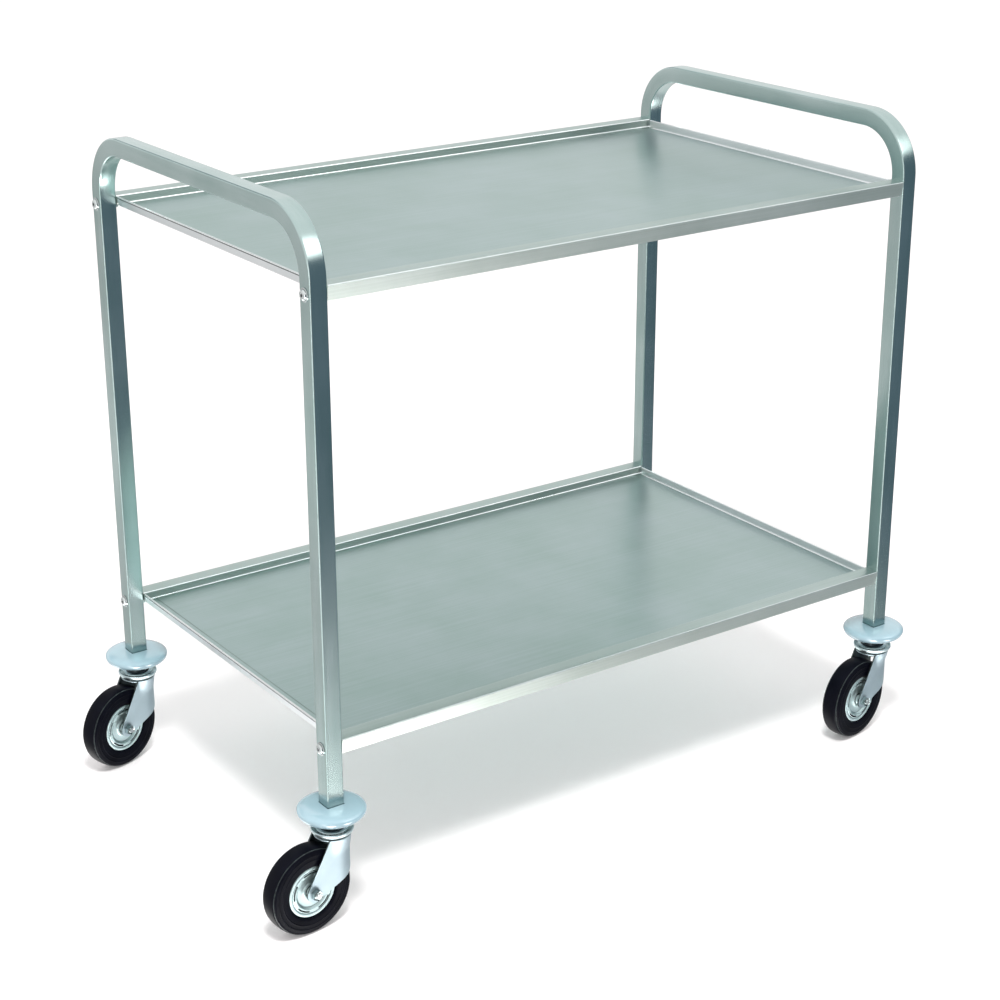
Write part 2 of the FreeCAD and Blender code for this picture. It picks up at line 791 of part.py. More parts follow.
def axle_bolt(corner):
    """Bolt through fork and hub; its head is on the +Y side of the wheel."""
    body = wheel_body(corner, "axle_bolt")
    face = S["fork_inside"] + S["fork_sheet"]
    head = draw(new_sketch(body, "XZ_Plane", -face), hexagon(S["axle_nut_flats"]))
    pad(body, head, S["axle_head_height"], back=True)
    shank = circle(new_sketch(body, "XZ_Plane", -face), S["axle_radius"])
    pad(body, shank, face * 2 + S["axle_nut_height"] + S["axle_end"])
    return body


def axle_nut(corner):
    """Nut on the bolt's -Y end."""
    body = wheel_body(corner, "axle_nut")
    sketch = draw(new_sketch(body, "XZ_Plane", S["fork_inside"] + S["fork_sheet"]), hexagon(S["axle_nut_flats"]))
    circle(sketch, S["axle_radius"] + S["running_gap"])
    pad(body, sketch, S["axle_nut_height"])
    return body


def tyre(corner):
    """Rubber ring: crowned tread with an edge groove each side, clamped bead."""
    body = wheel_body(corner, "tyre")
    half = S["tread_half"]
    land = S["shoulder_half"]
    groove = land + S["groove_width"]
    edge = S["tread_edge"]
    floor = edge - S["groove_depth"]
    land_edge = edge + S["groove_depth"] / 2
    crown = S["wheel_radius"] - land_edge
    bow = (land * land + crown * crown) / (crown * 2)
    bead = S["bead_half"]
    foot = S["bead_radius"]
    wall = foot + half - bead
    sketch = new_sketch(body, "XY_Plane")
    draw(sketch, [
        (S["bead_bore"], -bead),
        (foot, -bead),
        (wall, -half),
        (edge - half + groove, -half),
        (edge, -groove, half - groove),
        (floor, -groove),
        (floor, -land),
        (land_edge, -land),
        (S["wheel_radius"], zero, bow),
        (land_edge, land, bow),
        (floor, land),
        (floor, groove),
        (edge, groove),
        (edge - half + groove, half, half - groove),
        (wall, half),
        (foot, bead),
        (S["bead_bore"], bead),
    ])
    revolve(body, sketch)
    return body


def rim_discs(corner):
    """Two pressed discs that clamp the tyre's bead, each with curved slots."""
    body = wheel_body(corner, "rim_discs")
    sheet = S["disc_sheet"]
    inner = S["bead_half"]
    outer = inner + sheet
    dish = inner - S["dish_depth"]
    slope = S["dish_radius"] - S["dish_depth"]
    sketch = new_sketch(body, "XY_Plane")
    draw(sketch, [
        (S["hub_radius"] + 0.02, dish),
        (slope, dish),
        (S["dish_radius"], inner),
        (S["disc_radius"], inner),
        (S["disc_radius"], outer),
        (S["dish_radius"] - sheet / 2, outer),
        (slope - sheet / 2, dish + sheet),
        (S["hub_radius"] + 0.02, dish + sheet),
    ])
    revolve(body, sketch)
    near = S["slot_radius"] - S["slot_width"] / 2
    far = S["slot_radius"] + S["slot_width"] / 2
    across = turned("cos", S["slot_angle"] / 2)
    up = turned("sin", S["slot_angle"] / 2)
    slot = draw(new_sketch(body, "XZ_Plane"), [
        (near * across, -(near * up), -near),
        (far * across, -(far * up)),
        (far * across, far * up, far),
        (near * across, near * up),
    ])
    opening = cut(body, slot, outer * 3, both_ways=True)
    repeat_round(body, SLOT_COUNT, "Y_Axis", opening)
    mirror(body, "XZ_Plane")
    return body


def hub_tube(corner):
    """Tube between the discs that turns on the axle bolt."""
    body = wheel_body(corner, "hub_tube")
    half = S["hub_half"]
    ring(body, S["axle_radius"] + S["running_gap"], S["hub_radius"], -half, half, "XY_Plane")
    return body


def build():
    """Make every sub-part and return the bodies."""
    bodies = [
        end_frame("end_frame_left", -1),
        end_frame("end_frame_right", 1),
        tray("tray_upper", S["upper_rim"]),
        tray("tray_lower", S["lower_rim"]),
        tray_brackets("tray_brackets_upper", S["upper_rim"]),
        tray_brackets("tray_brackets_lower", S["lower_rim"]),
        tray_screws(),
        fastener_ring("tray_screw_washers", S["outer_length"] / 2, S["washer_thickness"],
                      S["screw_radius"] + S["screw_clearance"], S["washer_radius"]),
        tray_nuts(),
        leg_inserts(),
    ]
    pieces = (bumper, stem, upper_race, kingpin_nut, fork, race_cup, race_balls,
              axle_bolt, axle_nut, tyre, rim_discs, hub_tube)
    for corner in CORNERS:
        for piece in pieces:
            bodies.append(piece(corner))
    return bodies


def check(bodies):
    """Stop on any failed object or broken solid."""
    for item in doc.Objects:
        for bad in ("Invalid", "Error"):
            if bad in item.State:
                raise RuntimeError(f"{item.Name} is {item.State}")
    for body in bodies:
        if body.Shape.isNull() or not body.Shape.isValid() or not body.Shape.Solids:
            raise RuntimeError(f"{body.Label} has no valid solid")


parts = build()
doc.recompute()
check(parts)
os.makedirs("parts", exist_ok=True)
for part in parts:
    part.Shape.exportStep(f"parts/{part.Label}.step")
    print(f"{part.Label}: {len(part.Shape.Solids)} solids, {part.Shape.Volume:.0f} mm3")
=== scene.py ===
import json
import math

import bmesh
import bpy
from mathutils import Matrix, Vector


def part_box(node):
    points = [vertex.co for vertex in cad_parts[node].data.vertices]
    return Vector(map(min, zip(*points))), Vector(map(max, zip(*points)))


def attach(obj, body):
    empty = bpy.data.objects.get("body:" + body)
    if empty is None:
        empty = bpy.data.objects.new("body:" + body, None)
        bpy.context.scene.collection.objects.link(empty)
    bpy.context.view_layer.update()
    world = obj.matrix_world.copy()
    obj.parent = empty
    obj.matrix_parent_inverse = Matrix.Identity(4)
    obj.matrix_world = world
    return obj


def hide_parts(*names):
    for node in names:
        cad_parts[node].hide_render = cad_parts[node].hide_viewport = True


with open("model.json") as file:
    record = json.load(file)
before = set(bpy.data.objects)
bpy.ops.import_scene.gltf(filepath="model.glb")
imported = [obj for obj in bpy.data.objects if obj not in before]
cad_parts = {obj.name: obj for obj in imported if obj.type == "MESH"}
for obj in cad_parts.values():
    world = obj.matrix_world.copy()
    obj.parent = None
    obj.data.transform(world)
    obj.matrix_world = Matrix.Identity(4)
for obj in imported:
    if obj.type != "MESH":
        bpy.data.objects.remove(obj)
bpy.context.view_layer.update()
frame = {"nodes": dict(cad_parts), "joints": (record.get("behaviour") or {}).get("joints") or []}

MM = 0.001
TURN = 2 * math.pi
ROOT = "trolley_frame"
CORNERS = ("front_left", "back_left", "front_right", "back_right")


def joint(name):
    return next(item for item in frame["joints"] if item["name"] == name)


# ---------------------------------------------------------------- outlines

def arc_points(centre, radius, start, end, steps):
    """Points on a circle from one angle to another."""
    points = []
    for step in range(steps + 1):
        angle = start + (end - start) * step / steps
        points.append((centre[0] + radius * math.cos(angle), centre[1] + radius * math.sin(angle)))
    return points


def soften(points, radius, steps=4, closed=True, least_turn=0.2):
    """Round each corner of a polyline, as far as its sides allow, by one radius or by a tuple of them."""
    result = []
    count = len(points)
    radii = radius if isinstance(radius, tuple) else (radius,) * count
    for index in range(count):
        here = Vector(points[index])
        if not closed and index in (0, count - 1):
            result.append(tuple(here))
            continue
        before = Vector(points[index - 1])
        after = Vector(points[(index + 1) % count])
        come, leave = here - before, after - here
        turn = come.angle_signed(leave)
        if abs(turn) < least_turn:
            result.append(tuple(here))
            continue
        room = 0.45 * min(come.length, leave.length)
        reach = min(radii[index] * math.tan(abs(turn) / 2), room)
        start = here - come.normalized() * reach
        finish = here + leave.normalized() * reach
        for step in range(steps + 1):
            part = step / steps
            near = start.lerp(here, part)
            far = here.lerp(finish, part)
            result.append(tuple(near.lerp(far, part)))
    return result


def ribbon(path, thickness):
    """Left and right offsets of an open path: the two skins of a folded sheet."""
    left, right = [], []
    for index, point in enumerate(path):
        here = Vector(point)
        come = here - Vector(path[index - 1]) if index else Vector(path[1]) - here
        leave = Vector(path[index + 1]) - here if index + 1 < len(path) else come
        along_path = (come.normalized() + leave.normalized()).normalized()
        normal = Vector((-along_path.y, along_path.x))
        spread = thickness / 2 / max(normal.dot(Vector((-come.y, come.x)).normalized()), 0.5)
        left.append(tuple(here + normal * spread))
        right.append(tuple(here - normal * spread))
    return left, right


def millimetres(points):
    """An outline written in millimetres, in metres."""
    return [(first * MM, second * MM) for first, second in points]


# ---------------------------------------------------------------- meshes

def finish_mesh(name, mesh_data, material, body, node, sharp=35, matrix=None):
    """Turn a bmesh into a piece that rides on a body and stands for a CAD node."""
    bmesh.ops.recalc_face_normals(mesh_data, faces=mesh_data.faces)
    mesh = bpy.data.meshes.new(name)
    mesh_data.to_mesh(mesh)
    mesh_data.free()
    mesh.polygons.foreach_set("use_smooth", [True] * len(mesh.polygons))
    mesh.set_sharp_from_angle(angle=math.radians(sharp))
    for each in material if isinstance(material, tuple) else (material,):
        mesh.materials.append(each)
    return place(name, mesh, body, node, matrix)


def place(name, mesh, body, node, matrix):
    piece = bpy.data.objects.new(name, mesh)
    bpy.context.scene.collection.objects.link(piece)
    if matrix is not None:
        piece.matrix_world = matrix
    bpy.context.view_layer.update()
    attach(piece, body)
    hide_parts(node)
    return piece


MESHES = {}                # meshes that several pieces share, by the function that builds them


def repeated(build, name, material, body, node, matrix):
    """Place a piece whose mesh is built once and shared by its repeats."""
    if build in MESHES:
        place(name, MESHES[build], body, node, matrix)
    else:
        MESHES[build] = finish_mesh(name, build(), material, body, node, matrix=matrix).data


def strip_between(mesh_data, first, second, closed=True):
    """Quads between two rows of vertices of the same length."""
    count = len(first)
    for index in range(count if closed else count - 1):
        following = (index + 1) % count
        quad = (first[index], first[following], second[following], second[index])
        if len(set(quad)) > 2:
            mesh_data.faces.new([vertex for at, vertex in enumerate(quad) if vertex not in quad[:at]])


def skin_over(mesh_data, rows, closed=False):
    """Quads between each row and the next one, and from the last to the first if closed."""
    for first, second in zip(rows, rows[1:] + rows[:1] if closed else rows[1:]):
        strip_between(mesh_data, first, second)


def ring(mesh_data, radius, height, segments, axis="Z"):
    """Vertices round an axis; the radius and the height are numbers or functions of the angle."""
    row = []
    for index in range(segments):
        angle = TURN * index / segments
        reach, level = (each(angle) if callable(each) else each for each in (radius, height))
        x, y = reach * math.cos(angle), reach * math.sin(angle)
        row.append(mesh_data.verts.new((x, y, level) if axis == "Z" else (x, level, y)))
    return row


def lathe(mesh_data, profile, segments=96, closed=True, axis="Z"):
    """Turn a profile of (radius, height) points about an axis."""
    rows = [ring(mesh_data, radius, height, segments, axis) for radius, height in profile]
    skin_over(mesh_data, rows, closed)
    return rows


def give_second(mesh_data, chosen):
    """Give a mesh's second material to the faces whose middles are chosen."""
    for face in mesh_data.faces:
        if chosen(face.calc_center_median()):
            face.material_index = 1


def folded_sheet(mesh_data, skins, ends, spot):
    """A sheet's section drawn from one end to the other; spot gives a section point's place at an end."""
    left, right = skins
    section = left + right[::-1]
    rows = [[mesh_data.verts.new(spot(end, point)) for point in section] for end in ends]
    strip_between(mesh_data, rows[0], rows[1])
    for row in rows:
        for index in range(len(left) - 1):
            mesh_data.faces.new((row[index], row[index + 1], row[-2 - index], row[-1 - index]))
    return rows


# ---------------------------------------------------------------- materials

ALONG_X = (4, 500, 500)    # how scratches are drawn out
ALONG_Y = (500, 4, 500)
ALONG_TUBE = (6, 600, 1)


def new_material(name):
    material = bpy.data.materials.new(name)
    material.use_nodes = True
    tree = material.node_tree
    return material, tree, tree.nodes["Principled BSDF"]


def object_place(tree):
    return tree.nodes.new("ShaderNodeTexCoord").outputs["Object"]


def plug(tree, value, socket):
    """Link a socket to another one, or set it to a plain value."""
    if isinstance(value, bpy.types.NodeSocket):
        tree.links.new(value, socket)
    else:
        socket.default_value = value


def feed(tree, node, **inputs):
    """Plug values into a node's inputs; _ in a name stands for a space."""
    for name, value in inputs.items():
        plug(tree, value, node.inputs[name.replace("_", " ")])
    return node


def colour_ramp(tree, source, low, high, positions):
    """Two colours mixed by a noise value."""
    ramp = feed(tree, tree.nodes.new("ShaderNodeValToRGB"), Fac=source)
    elements = ramp.color_ramp.elements
    for index, colour in enumerate((low, high)):
        elements[index].position = positions[index]
        elements[index].color = (*colour, 1)
    return ramp.outputs["Color"]


def value_range(tree, source, low, high):
    node = feed(tree, tree.nodes.new("ShaderNodeMapRange"), Value=source, To_Min=low, To_Max=high)
    return node.outputs["Result"]


def noise(tree, coordinates, scale, detail, stretch=(1, 1, 1), distortion=0.0):
    """Noise, drawn out along one direction where brushing leaves it so."""
    mapping = feed(tree, tree.nodes.new("ShaderNodeMapping"), Vector=coordinates, Scale=stretch)
    node = feed(tree, tree.nodes.new("ShaderNodeTexNoise"), Vector=mapping.outputs["Vector"],
                Scale=scale, Detail=detail, Distortion=distortion)
    return node.outputs["Fac"]


def band(tree, value, low, high):
    """0 at low, 1 at high, smooth between; low may be the larger one."""
    node = tree.nodes.new("ShaderNodeMapRange")
    node.interpolation_type = "SMOOTHSTEP"
    rising = low < high
    feed(tree, node, Value=value, From_Min=min(low, high), From_Max=max(low, high),
         To_Min=0 if rising else 1, To_Max=1 if rising else 0)
    return node.outputs["Result"]


def arithmetic(tree, operation, *values):
    node = tree.nodes.new("ShaderNodeMath")
    node.operation = operation
    for index, value in enumerate(values):
        plug(tree, value, node.inputs[index])
    return node.outputs[0]


def mix_colour(tree, blend, factor, first, second):
    mix = tree.nodes.new("ShaderNodeMix")
    mix.data_type = "RGBA"
    mix.blend_type = blend
    return feed(tree, mix, Factor=factor, A=first, B=second).outputs["Result"]


def texture(tree, shader, tone, colours, roughness, relief, depth, positions=(0.3, 0.7)):
    """Colour and roughness that follow one noise, and a fine relief that follows another."""
    bump = feed(tree, tree.nodes.new("ShaderNodeBump"), Strength=depth, Distance=MM, Height=relief)
    feed(tree, shader, Base_Color=colour_ramp(tree, tone, *colours, positions),
         Roughness=value_range(tree, tone, *roughness), Normal=bump.outputs["Normal"])


def brushed_steel(name, low, high, stretch, roughness, anisotropy=0.0, turn=0.0, uv=None):
    """Metal with long fine scratches, soft cloudy variation and brushed gloss."""
    material, tree, shader = new_material(name)
    if uv:
        source = tree.nodes.new("ShaderNodeUVMap")
        source.uv_map = uv
        coordinates = source.outputs["UV"]
    else:
        coordinates = object_place(tree)
    lines = noise(tree, coordinates, 1.0, 3.0, stretch)
    clouds = noise(tree, coordinates, 9.0, 4.0)
    tone = arithmetic(tree, "MULTIPLY_ADD", lines, 0.45, arithmetic(tree, "MULTIPLY", clouds, 0.55))
    texture(tree, shader, tone, (low, high), roughness, lines, 0.012, (0.35, 0.65))
    feed(tree, shader, Metallic=1.0)
    if anisotropy:
        tangent = tree.nodes.new("ShaderNodeTangent")
        if uv:
            tangent.direction_type = "UV_MAP"
            tangent.uv_map = uv
        else:
            tangent.direction_type = "RADIAL"
            tangent.axis = "X"
        feed(tree, shader, Anisotropic=anisotropy, Anisotropic_Rotation=turn,
             Tangent=tangent.outputs["Tangent"])
    return material


def plated(name, low, high, roughness, scale=60.0, relief=0.02):
    """Plated pressing: bright, with faint blotches and a slight orange peel."""
    material, tree, shader = new_material(name)
    coordinates = object_place(tree)
    blotches = noise(tree, coordinates, scale, 5.0, distortion=0.4)
    peel = noise(tree, coordinates, scale * 8, 2.0)
    texture(tree, shader, blotches, (low, high), roughness, peel, relief)
    feed(tree, shader, Metallic=1.0)
    return material


def moulded(name, low, high, roughness, scale=40.0, relief=0.05, fine=900.0, coat=0.0, gloss=0.5):
    """Rubber or plastic: slight tone changes and a fine moulded texture."""
    material, tree, shader = new_material(name)
    coordinates = object_place(tree)
    clouds = noise(tree, coordinates, scale, 4.0)
    texture(tree, shader, clouds, (low, high), roughness, noise(tree, coordinates, fine, 2.0), relief)
    feed(tree, shader, Specular_IOR_Level=gloss, Coat_Weight=coat, Coat_Roughness=0.05, Coat_IOR=1.7)
    return material


def multiply_colour(material, factor, tint):
    """Multiply a material's colour by a tint, as far as a factor says."""
    tree = material.node_tree
    base = tree.nodes["Principled BSDF"].inputs["Base Color"]
    tree.links.new(mix_colour(tree, "MULTIPLY", factor, base.links[0].from_socket, tint), base)


def paint_crevice_shade(material, reach, depth):
    """Painted shade: deepen a material's colour inside folds and grooves, where light hardly gets."""
    tree = material.node_tree
    hollow = feed(tree, tree.nodes.new("ShaderNodeAmbientOcclusion"), Distance=reach)
    hollow.samples = 6
    multiply_colour(material, 1.0, value_range(tree, hollow.outputs["AO"], depth, 1.0))


def paint_foot_shade(material, tint):
    """Painted shade and a painted reflection of the bumper: darken the lowest 12 mm of each leg, most of all
    at the bumper.
    """
    tree = material.node_tree
    split = tree.nodes.new("ShaderNodeSeparateXYZ")
    tree.links.new(object_place(tree), split.inputs[0])
    height = split.outputs["Z"]
    bumper_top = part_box("front_left_bumper")[1].z
    # soft: the painted reflection of the bumper above it; hard: the painted shade line where the leg meets
    # the bumper
    soft = band(tree, height, bumper_top + 12.5 * MM, bumper_top + 7.5 * MM)
    hard = band(tree, height, bumper_top + 2.5 * MM, bumper_top + 0.5 * MM)
    mask = arithmetic(tree, "MULTIPLY_ADD", soft, 0.55, arithmetic(tree, "MULTIPLY", hard, 0.45))
    multiply_colour(material, mask, (*tint, 1))


# the trays' one steel in lit and shaded copies: painted light on rim tops, skirts and hems, painted shade on
# inner walls, painted highlights on folds
deck_steel = brushed_steel(
    "deck_steel", (0.345, 0.46, 0.435), (0.43, 0.53, 0.53), ALONG_X, (0.30, 0.38), 0.6)
rim_top_painted_light = brushed_steel(
    "rim_top_painted_light", (0.40, 0.50, 0.47), (0.48, 0.57, 0.55), ALONG_X, (0.30, 0.38), 0.6)
skirt_painted_light = brushed_steel(
    "skirt_painted_light", (0.72, 0.78, 0.71), (0.82, 0.87, 0.81), ALONG_X, (0.34, 0.42), 0.9)
wall_painted_shade = brushed_steel(
    "wall_painted_shade", (0.29, 0.36, 0.33), (0.36, 0.43, 0.40), ALONG_X, (0.34, 0.42), 0.9)
# painted highlights along the folds, dimmer on the outer folds
fold_painted_highlight = brushed_steel(
    "fold_painted_highlight", (0.90, 0.95, 0.95), (0.97, 0.98, 0.98), ALONG_X, (0.24, 0.32))
outer_fold_painted_highlight = brushed_steel(
    "outer_fold_painted_highlight", (0.56, 0.62, 0.61), (0.68, 0.73, 0.72), ALONG_X, (0.24, 0.32))
hem_painted_light = brushed_steel(
    "hem_painted_light", (0.84, 0.87, 0.88), (0.93, 0.95, 0.96), ALONG_Y, (0.34, 0.42))
tube_steel = brushed_steel(
    "tube_steel", (0.42, 0.55, 0.53), (0.56, 0.67, 0.66), ALONG_TUBE, (0.22, 0.28), 0.7, 0.25, "grain")
zinc = plated(
    "zinc_plate", (0.66, 0.78, 0.79), (0.74, 0.86, 0.87), (0.36, 0.44))
disc_zinc = plated(
    "disc_zinc", (0.58, 0.71, 0.71), (0.67, 0.79, 0.79), (0.52, 0.62), 45.0)
fork_zinc = plated(
    "fork_zinc", (0.50, 0.60, 0.64), (0.58, 0.68, 0.72), (0.50, 0.60), 30.0, 0.01)
bright = plated(
    "bright_steel", (0.60, 0.64, 0.64), (0.76, 0.80, 0.80), (0.12, 0.22), 120.0, 0.01)
# a dark copy of the bright steel: painted shade on the axle nut and in the wheel discs' creases
painted_shade_steel = plated(
    "painted_shade_steel", (0.22, 0.27, 0.27), (0.36, 0.42, 0.42), (0.16, 0.26), 120.0, 0.01)
# painted shade for the dark gap between the race cup and the bumper
race_gap_shade = plated(
    "race_painted_shade", (0.03, 0.036, 0.04), (0.07, 0.08, 0.085), (0.18, 0.30), 90.0)
# painted shade for the screw sockets and the hem's seam groove
painted_recess_shade = plated(
    "painted_recess_shade", (0.03, 0.035, 0.035), (0.06, 0.065, 0.065), (0.4, 0.5), 200.0)
# painted shade for the fork's inside faces and sheet edges
fork_painted_shade = plated(
    "fork_painted_shade", (0.06, 0.075, 0.075), (0.13, 0.155, 0.155), (0.35, 0.5), 90.0)
bumper_plastic = moulded(
    "bumper_plastic", (0.28, 0.42, 0.48), (0.32, 0.46, 0.52), (0.14, 0.22), 25.0, 0.01, 700.0, coat=0.8)
rubber = moulded(
    "tyre_rubber", (0.0015, 0.0017, 0.004), (0.0035, 0.004, 0.008), (0.30, 0.45), 50.0, 0.06, 1200.0,
    gloss=0.06)
# lighter, glossier rubber in the tread-edge grooves: a painted highlight
tyre_painted_highlight = moulded(
    "tyre_painted_highlight", (0.012, 0.016, 0.017), (0.070, 0.090, 0.090), (0.22, 0.40), 160.0, 0.05, 1500.0,
    gloss=0.6)
nylon = moulded(
    "plug_nylon", (0.010, 0.010, 0.012), (0.022, 0.022, 0.024), (0.35, 0.50))

# painted shade and a painted reflection of the bumper at the feet of the legs
paint_foot_shade(tube_steel, (0.42, 0.46, 0.47))
# painted shade in the folds and grooves of these materials
paint_crevice_shade(deck_steel, 6 * MM, 0.45)
paint_crevice_shade(zinc, 3 * MM, 0.2)
paint_crevice_shade(disc_zinc, 2 * MM, 0.35)
paint_crevice_shade(fork_zinc, 4 * MM, 0.3)
paint_crevice_shade(bright, 4 * MM, 0.2)


# ---------------------------------------------------------------- end frames

TUBE_CORNER = 2.5 * MM
TUBE_WALL = 1.5 * MM
BEND_RADIUS = 75 * MM
BEND_STEPS = 24


def rounded_square(half, radius, steps=6):
    points = []
    for quarter in range(4):
        centre_x = (half - radius) * (1 if quarter in (0, 3) else -1)
        centre_y = (half - radius) * (1 if quarter in (0, 1) else -1)
        start = quarter * TURN / 4
        points += arc_points((centre_x, centre_y), radius, start, start + TURN / 4, steps)
    return points


def arch_path(leg, foot, top):
    """Points up one leg, round two bends and down the other, each with the direction of travel."""
    path = [((-leg, foot), (0, 1))]
    for centre_y, start in ((BEND_RADIUS - leg, math.pi), (leg - BEND_RADIUS, math.pi / 2)):
        for step in range(BEND_STEPS + 1):
            angle = start - step / BEND_STEPS * math.pi / 2
            y = centre_y + BEND_RADIUS * math.cos(angle)
            z = top - BEND_RADIUS + BEND_RADIUS * math.sin(angle)
            path.append(((y, z), (math.sin(angle), -math.cos(angle))))
    path.append(((leg, foot), (0, -1)))
    return path


def end_frame(side):
    """Square tube swept round an arch; the grain UVs run along the tube and round it."""
    node = f"end_frame_{side}"
    low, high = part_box(node)
    half = (high.x - low.x) / 2
    middle_x = (high.x + low.x) / 2
    path = arch_path(high.y - half, low.z, high.z - half)
    travelled = [0.0]
    for (first, _), (second, _) in zip(path, path[1:]):
        travelled.append(travelled[-1] + math.dist(first, second))
    grain_start = 0.5 if side == "left" else 0      # keeps the two frames' scratches apart
    mesh_data = bmesh.new()
    layer = mesh_data.loops.layers.uv.new("grain")
    skins = []
    for size, radius in ((half, TUBE_CORNER), (half - TUBE_WALL, TUBE_CORNER - TUBE_WALL)):
        square = rounded_square(size, radius)
        count = len(square)
        rows = [[mesh_data.verts.new((middle_x + u, y - dz * v, z + dy * v)) for u, v in square]
                for (y, z), (dy, dz) in path]
        for index in range(len(rows) - 1):
            for at in range(count):
                corners = ((index, at), (index, at + 1), (index + 1, at + 1), (index + 1, at))
                face = mesh_data.faces.new([rows[row][spot % count] for row, spot in corners])
                for loop, (row, spot) in zip(face.loops, corners):
                    loop[layer].uv = (travelled[row], spot * 4 * half / count + grain_start)
        skins.append(rows)
    for end in (0, -1):
        strip_between(mesh_data, skins[0][end], skins[1][end])
    finish_mesh(f"{node}_tube", mesh_data, tube_steel, ROOT, node, 50)


# ---------------------------------------------------------------- trays

SHEET = 1.2 * MM
FOLD = 1.4 * MM            # centreline radius of the upper folds
FLOOR_FOLD = 3.3 * MM      # centreline radius where a rim or an upstand meets the deck
RIM_WIDTH = 25 * MM
DECK_DEPTH = 12.6 * MM     # from the rim's top to the deck
SKIRT_LEAN = 1.6 * MM      # how far the lower edge of a skirt springs inwards
JOGGLE_STEP = 0.8 * MM     # how far the deck steps down towards its ends
JOGGLE_INSET = 17.5 * MM   # how far from the upstand it does so
JOGGLE_RAMP = 0.9 * MM     # half the length of the step
HEM = 2.6 * MM             # thickness of the upstand with its hem
HEM_LEAN = 1.6 * MM        # how far the lower edge of a hem is tucked in
HEM_SEAM = (1.9 * MM, 2.4 * MM, 2.9 * MM)      # edges and bottom of the groove, below the hem's crest
SEAM_DEPTH = 0.5 * MM
END_DROP = 1.0 * MM        # how far the upstand's crest is below the rim's top
CORNER_SLIT = 3.2 * MM     # gap between an upstand and a rim

# the places of a tray's materials: lit and shaded copies of its one steel, with painted light on rim tops,
# skirts and hems, painted highlights on folds, and painted shade on inner walls and in the seam groove
DECK, SKIRT, SEAM, HEM_FACE, RIM_TOP, WALL, BEND, OUTER_BEND = range(8)
TRAY_MATERIALS = (deck_steel, skirt_painted_light, painted_recess_shade, hem_painted_light,
                  rim_top_painted_light, wall_painted_shade, fold_painted_highlight, outer_fold_painted_highlight)


